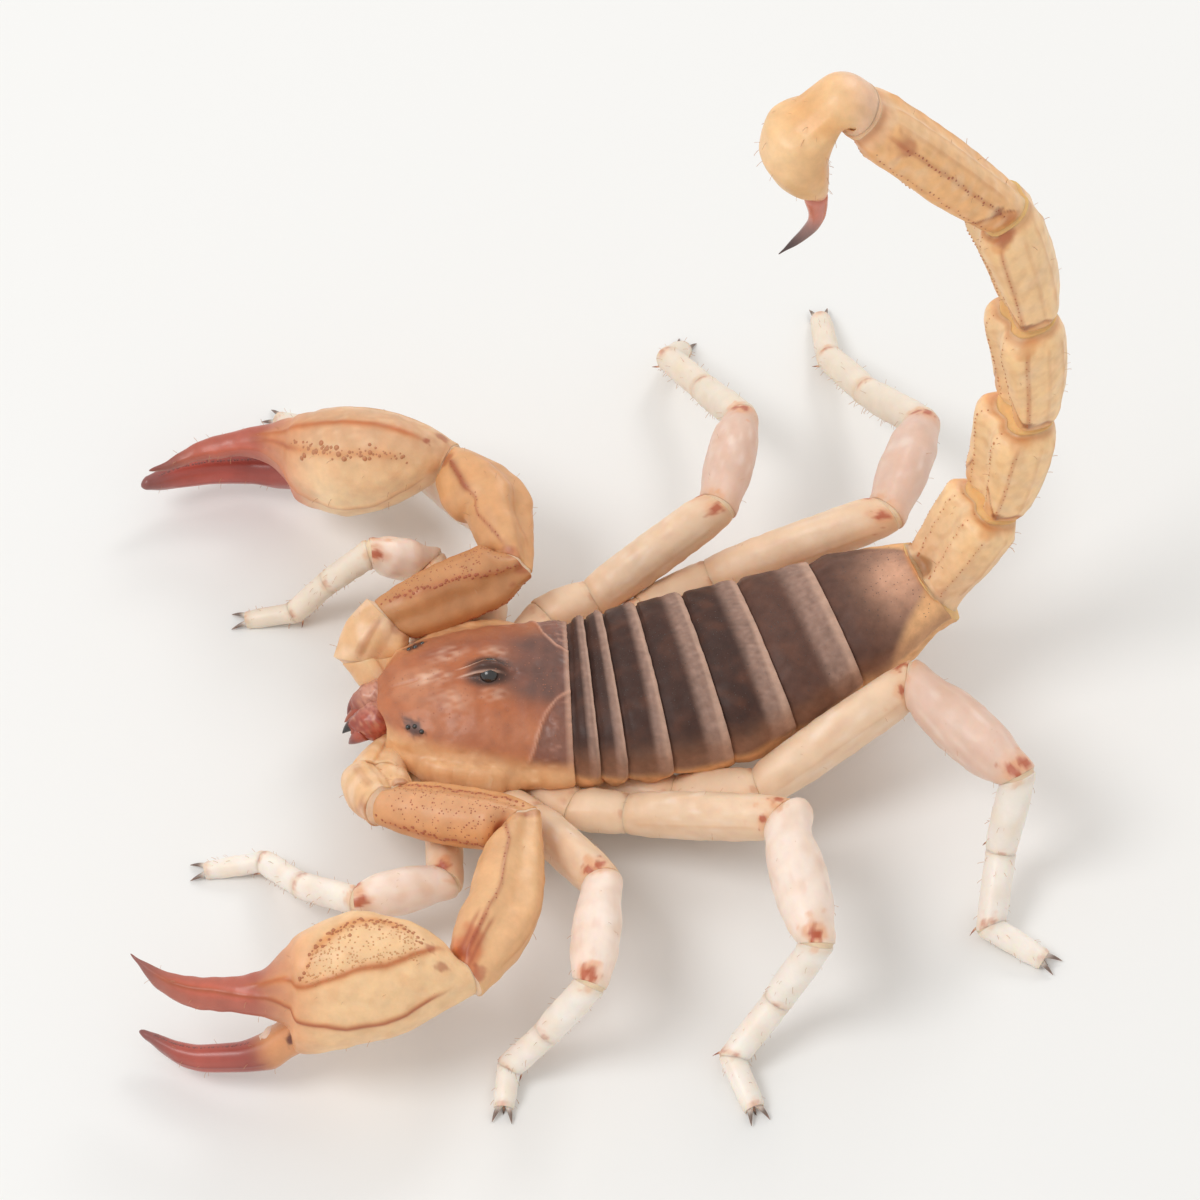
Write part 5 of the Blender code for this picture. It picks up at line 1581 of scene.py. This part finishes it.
def build_stage(settings):
    scene = bpy.context.scene
    scene.view_settings.view_transform = "Standard"
    back = Vector((math.sin(CAMERA_AZIMUTH) * math.cos(CAMERA_ELEVATION),
                   -math.cos(CAMERA_AZIMUTH) * math.cos(CAMERA_ELEVATION),
                   math.sin(CAMERA_ELEVATION)))
    lens = bpy.data.cameras.new("camera")
    lens.sensor_width = SENSOR
    lens.lens = SENSOR * CAMERA_DISTANCE / FRAME_WIDTH
    lens.clip_start = NEAR_CLIP
    scene.camera = put("camera", lens, CAMERA_TARGET + back * CAMERA_DISTANCE, back)

    floor_data = bpy.data.meshes.new("floor")
    mesh = bmesh.new()
    bmesh.ops.create_grid(mesh, x_segments=1, y_segments=1, size=FLOOR_HALF)
    mesh.to_mesh(floor_data)
    mesh.free()
    paper = bpy.data.materials.new("matt_white_paper")
    paper.use_nodes = True
    shader = paper.node_tree.nodes["Principled BSDF"]
    shader.inputs["Base Color"].default_value = (*settings.floor_colour, 1.0)
    shader.inputs["Roughness"].default_value = 0.9
    floor_data.materials.append(paper)
    floor = put("floor", floor_data)

    world = bpy.data.worlds.new("studio")
    world.use_nodes = True
    sky = world.node_tree.nodes["Background"]
    sky.inputs["Color"].default_value = (1.0, 0.99, 0.97, 1.0)
    sky.inputs["Strength"].default_value = settings.fill
    scene.world = world

    # Name, size across, power, place: a large soft box over the head and a smaller one behind.
    for name, size, power, place_mm in (
        ("key_soft_box", 260.0, settings.key, (60.0, -320.0, 460.0)),
        ("rim_soft_box", 160.0, settings.key * 0.35, (-300.0, 220.0, 300.0)),
    ):
        lamp = bpy.data.lights.new(name, "AREA")
        lamp.shape = "DISK"
        lamp.size = size * MM
        lamp.energy = power
        put(name, lamp, place_mm, Vector(place_mm))


# ---------------------------------------------------------------- add-on
class ScorpionShellSettings(bpy.types.PropertyGroup):
    """How finely the shell is made."""
    spacing: FloatProperty(name="Spacing", description="Distance between points of the shell, in mm",
                           default=0.14, min=0.05, max=0.6)
    leg_spacing: FloatProperty(name="Leg spacing", description="The same on the legs, in mm",
                               default=0.17, min=0.05, max=0.6)
    granule_height: FloatProperty(name="Granule height",
                                  description="Height of a granule against half its width",
                                  subtype="FACTOR", default=0.7, min=0.2, max=3.0)
    hair_length: FloatProperty(name="Hair length", description="Length of the bristles, as a factor",
                               subtype="FACTOR", default=1.0, min=0.2, max=3.0)


def tone(name, description, default):
    return FloatVectorProperty(name=name, description=description, subtype="COLOR", min=0.0, max=1.0,
                               default=tuple(srgb(default)))


class ScorpionToneSettings(bpy.types.PropertyGroup):
    """Ground colours of the animal."""
    carapace: tone("Carapace", "Colour of the carapace", TONES["carapace"])
    plate: tone("Back plates", "Colour of the back plates", TONES["plate"])
    band: tone("Bands", "Colour of the plates' hind margins", TONES["band"])
    tail: tone("Tail", "Colour of the tail's rings", TONES["tail"])
    claw: tone("Claws", "Colour of the pedipalps", TONES["claw"])
    finger: tone("Fingers", "Colour of the claws' fingers", TONES["finger"])
    feet: tone("Feet", "Colour of the shins and feet", TONES["feet"])


class ScorpionStageSettings(bpy.types.PropertyGroup):
    """Floor and lights."""
    floor_colour: tone("Floor", "Colour of the paper floor", (0.86, 0.86, 0.85))
    key: FloatProperty(name="Key light", description="Power of the main soft box",
                       subtype="POWER", unit="POWER", default=1.0, min=0.0)
    fill: FloatProperty(name="Fill light", description="Strength of the light from all round",
                        default=0.74, min=0.0)


def begin(context):
    """Take the ground colours from the sidebar, and give the sizes and the finishes."""
    for name in TONES:
        TONES[name] = np.array(getattr(context.scene.scorpion_tones, name))
    return context.scene.scorpion_shell, finishes()


class SCORPION_OT_trunk(bpy.types.Operator):
    """Build the carapace and the back plates"""
    bl_idname = "scorpion.trunk"
    bl_label = "Trunk"

    def execute(self, context):
        sizes, looks = begin(context)
        build_carapace(sizes.spacing, looks["carapace"])
        build_plates(sizes.spacing, looks["plate"])
        return {"FINISHED"}


class SCORPION_OT_head(bpy.types.Operator):
    """Build the eyes and the chelicerae"""
    bl_idname = "scorpion.head"
    bl_label = "Head"

    def execute(self, context):
        _, looks = begin(context)
        build_eyes(looks["eye"])
        build_chelicerae(looks["finger"])
        return {"FINISHED"}


class SCORPION_OT_underside(bpy.types.Operator):
    """Build the breast plate and the combs"""
    bl_idname = "scorpion.underside"
    bl_label = "Underside"

    def execute(self, context):
        _, looks = begin(context)
        build_underside(looks["straw"])
        return {"FINISHED"}


class SCORPION_OT_tail(bpy.types.Operator):
    """Build the tail's rings, its vesicle and the sting"""
    bl_idname = "scorpion.tail"
    bl_label = "Tail"

    def execute(self, context):
        sizes, looks = begin(context)
        build_tail(sizes.spacing, looks["straw"])
        build_telson(sizes.spacing, looks["straw"], looks["sting"])
        return {"FINISHED"}


class SCORPION_OT_pedipalps(bpy.types.Operator):
    """Build both pedipalps with their claws"""
    bl_idname = "scorpion.pedipalps"
    bl_label = "Pedipalps"

    def execute(self, context):
        sizes, looks = begin(context)
        for letter in SIDES:
            build_pedipalp(letter, sizes.spacing, looks["straw"])
            build_claw(letter, sizes.spacing, looks["straw"], looks["finger"])
        return {"FINISHED"}


class SCORPION_OT_legs(bpy.types.Operator):
    """Build the eight legs"""
    bl_idname = "scorpion.legs"
    bl_label = "Legs"

    def execute(self, context):
        sizes, looks = begin(context)
        for letter in SIDES:
            for number in range(1, 5):
                build_leg(f"leg_{letter}{number}", sizes.leg_spacing, looks["leg"])
        return {"FINISHED"}


class SCORPION_OT_skins(bpy.types.Operator):
    """Close the joints with soft skin"""
    bl_idname = "scorpion.skins"
    bl_label = "Joint skin"

    def execute(self, context):
        _, looks = begin(context)
        build_skins(looks["skin"])
        return {"FINISHED"}


class SCORPION_OT_granules(bpy.types.Operator):
    """Set the granules along the keels and the teeth on the combs"""
    bl_idname = "scorpion.granules"
    bl_label = "Granules"

    def execute(self, context):
        sizes, looks = begin(context)
        build_granules(looks["granule"], sizes.granule_height)
        build_comb_teeth(looks["straw"])
        return {"FINISHED"}


class SCORPION_OT_hairs(bpy.types.Operator):
    """Grow the bristles of the legs, the claws and the tail"""
    bl_idname = "scorpion.hairs"
    bl_label = "Hairs"

    def execute(self, context):
        sizes, looks = begin(context)
        build_hairs(looks["hair"], sizes.hair_length)
        return {"FINISHED"}


class SCORPION_OT_stage(bpy.types.Operator):
    """Set the floor, the soft boxes and the camera"""
    bl_idname = "scorpion.stage"
    bl_label = "Stage"

    def execute(self, context):
        build_stage(context.scene.scorpion_stage)
        return {"FINISHED"}


BUILDERS = (SCORPION_OT_trunk, SCORPION_OT_head, SCORPION_OT_underside, SCORPION_OT_tail,
            SCORPION_OT_pedipalps, SCORPION_OT_legs, SCORPION_OT_skins, SCORPION_OT_granules,
            SCORPION_OT_hairs, SCORPION_OT_stage)


class SCORPION_PT_panel(bpy.types.Panel):
    """The pieces of the scorpion, in the order they are built"""
    bl_idname = "SCORPION_PT_panel"
    bl_label = "Desert scorpion"
    bl_space_type = "VIEW_3D"
    bl_region_type = "UI"
    bl_category = "Scorpion"

    def draw(self, context):
        for group in GROUPS:
            settings = getattr(context.scene, group)
            for name in settings.bl_rna.properties.keys():
                if name not in ("rna_type", "name"):
                    self.layout.prop(settings, name)
        for builder in BUILDERS:
            self.layout.operator(builder.bl_idname)


GROUPS = {"scorpion_shell": ScorpionShellSettings, "scorpion_tones": ScorpionToneSettings,
          "scorpion_stage": ScorpionStageSettings}
CLASSES = (*GROUPS.values(), *BUILDERS, SCORPION_PT_panel)


def register():
    for item in CLASSES:
        bpy.utils.register_class(item)
    for group, settings in GROUPS.items():
        setattr(bpy.types.Scene, group, PointerProperty(type=settings))


def unregister():
    for group in GROUPS:
        delattr(bpy.types.Scene, group)
    for item in reversed(CLASSES):
        bpy.utils.unregister_class(item)


def main():
    register()
    for builder in BUILDERS:
        group, name = builder.bl_idname.split(".")
        getattr(getattr(bpy.ops, group), name)()


if __name__ == "__main__":
    main()
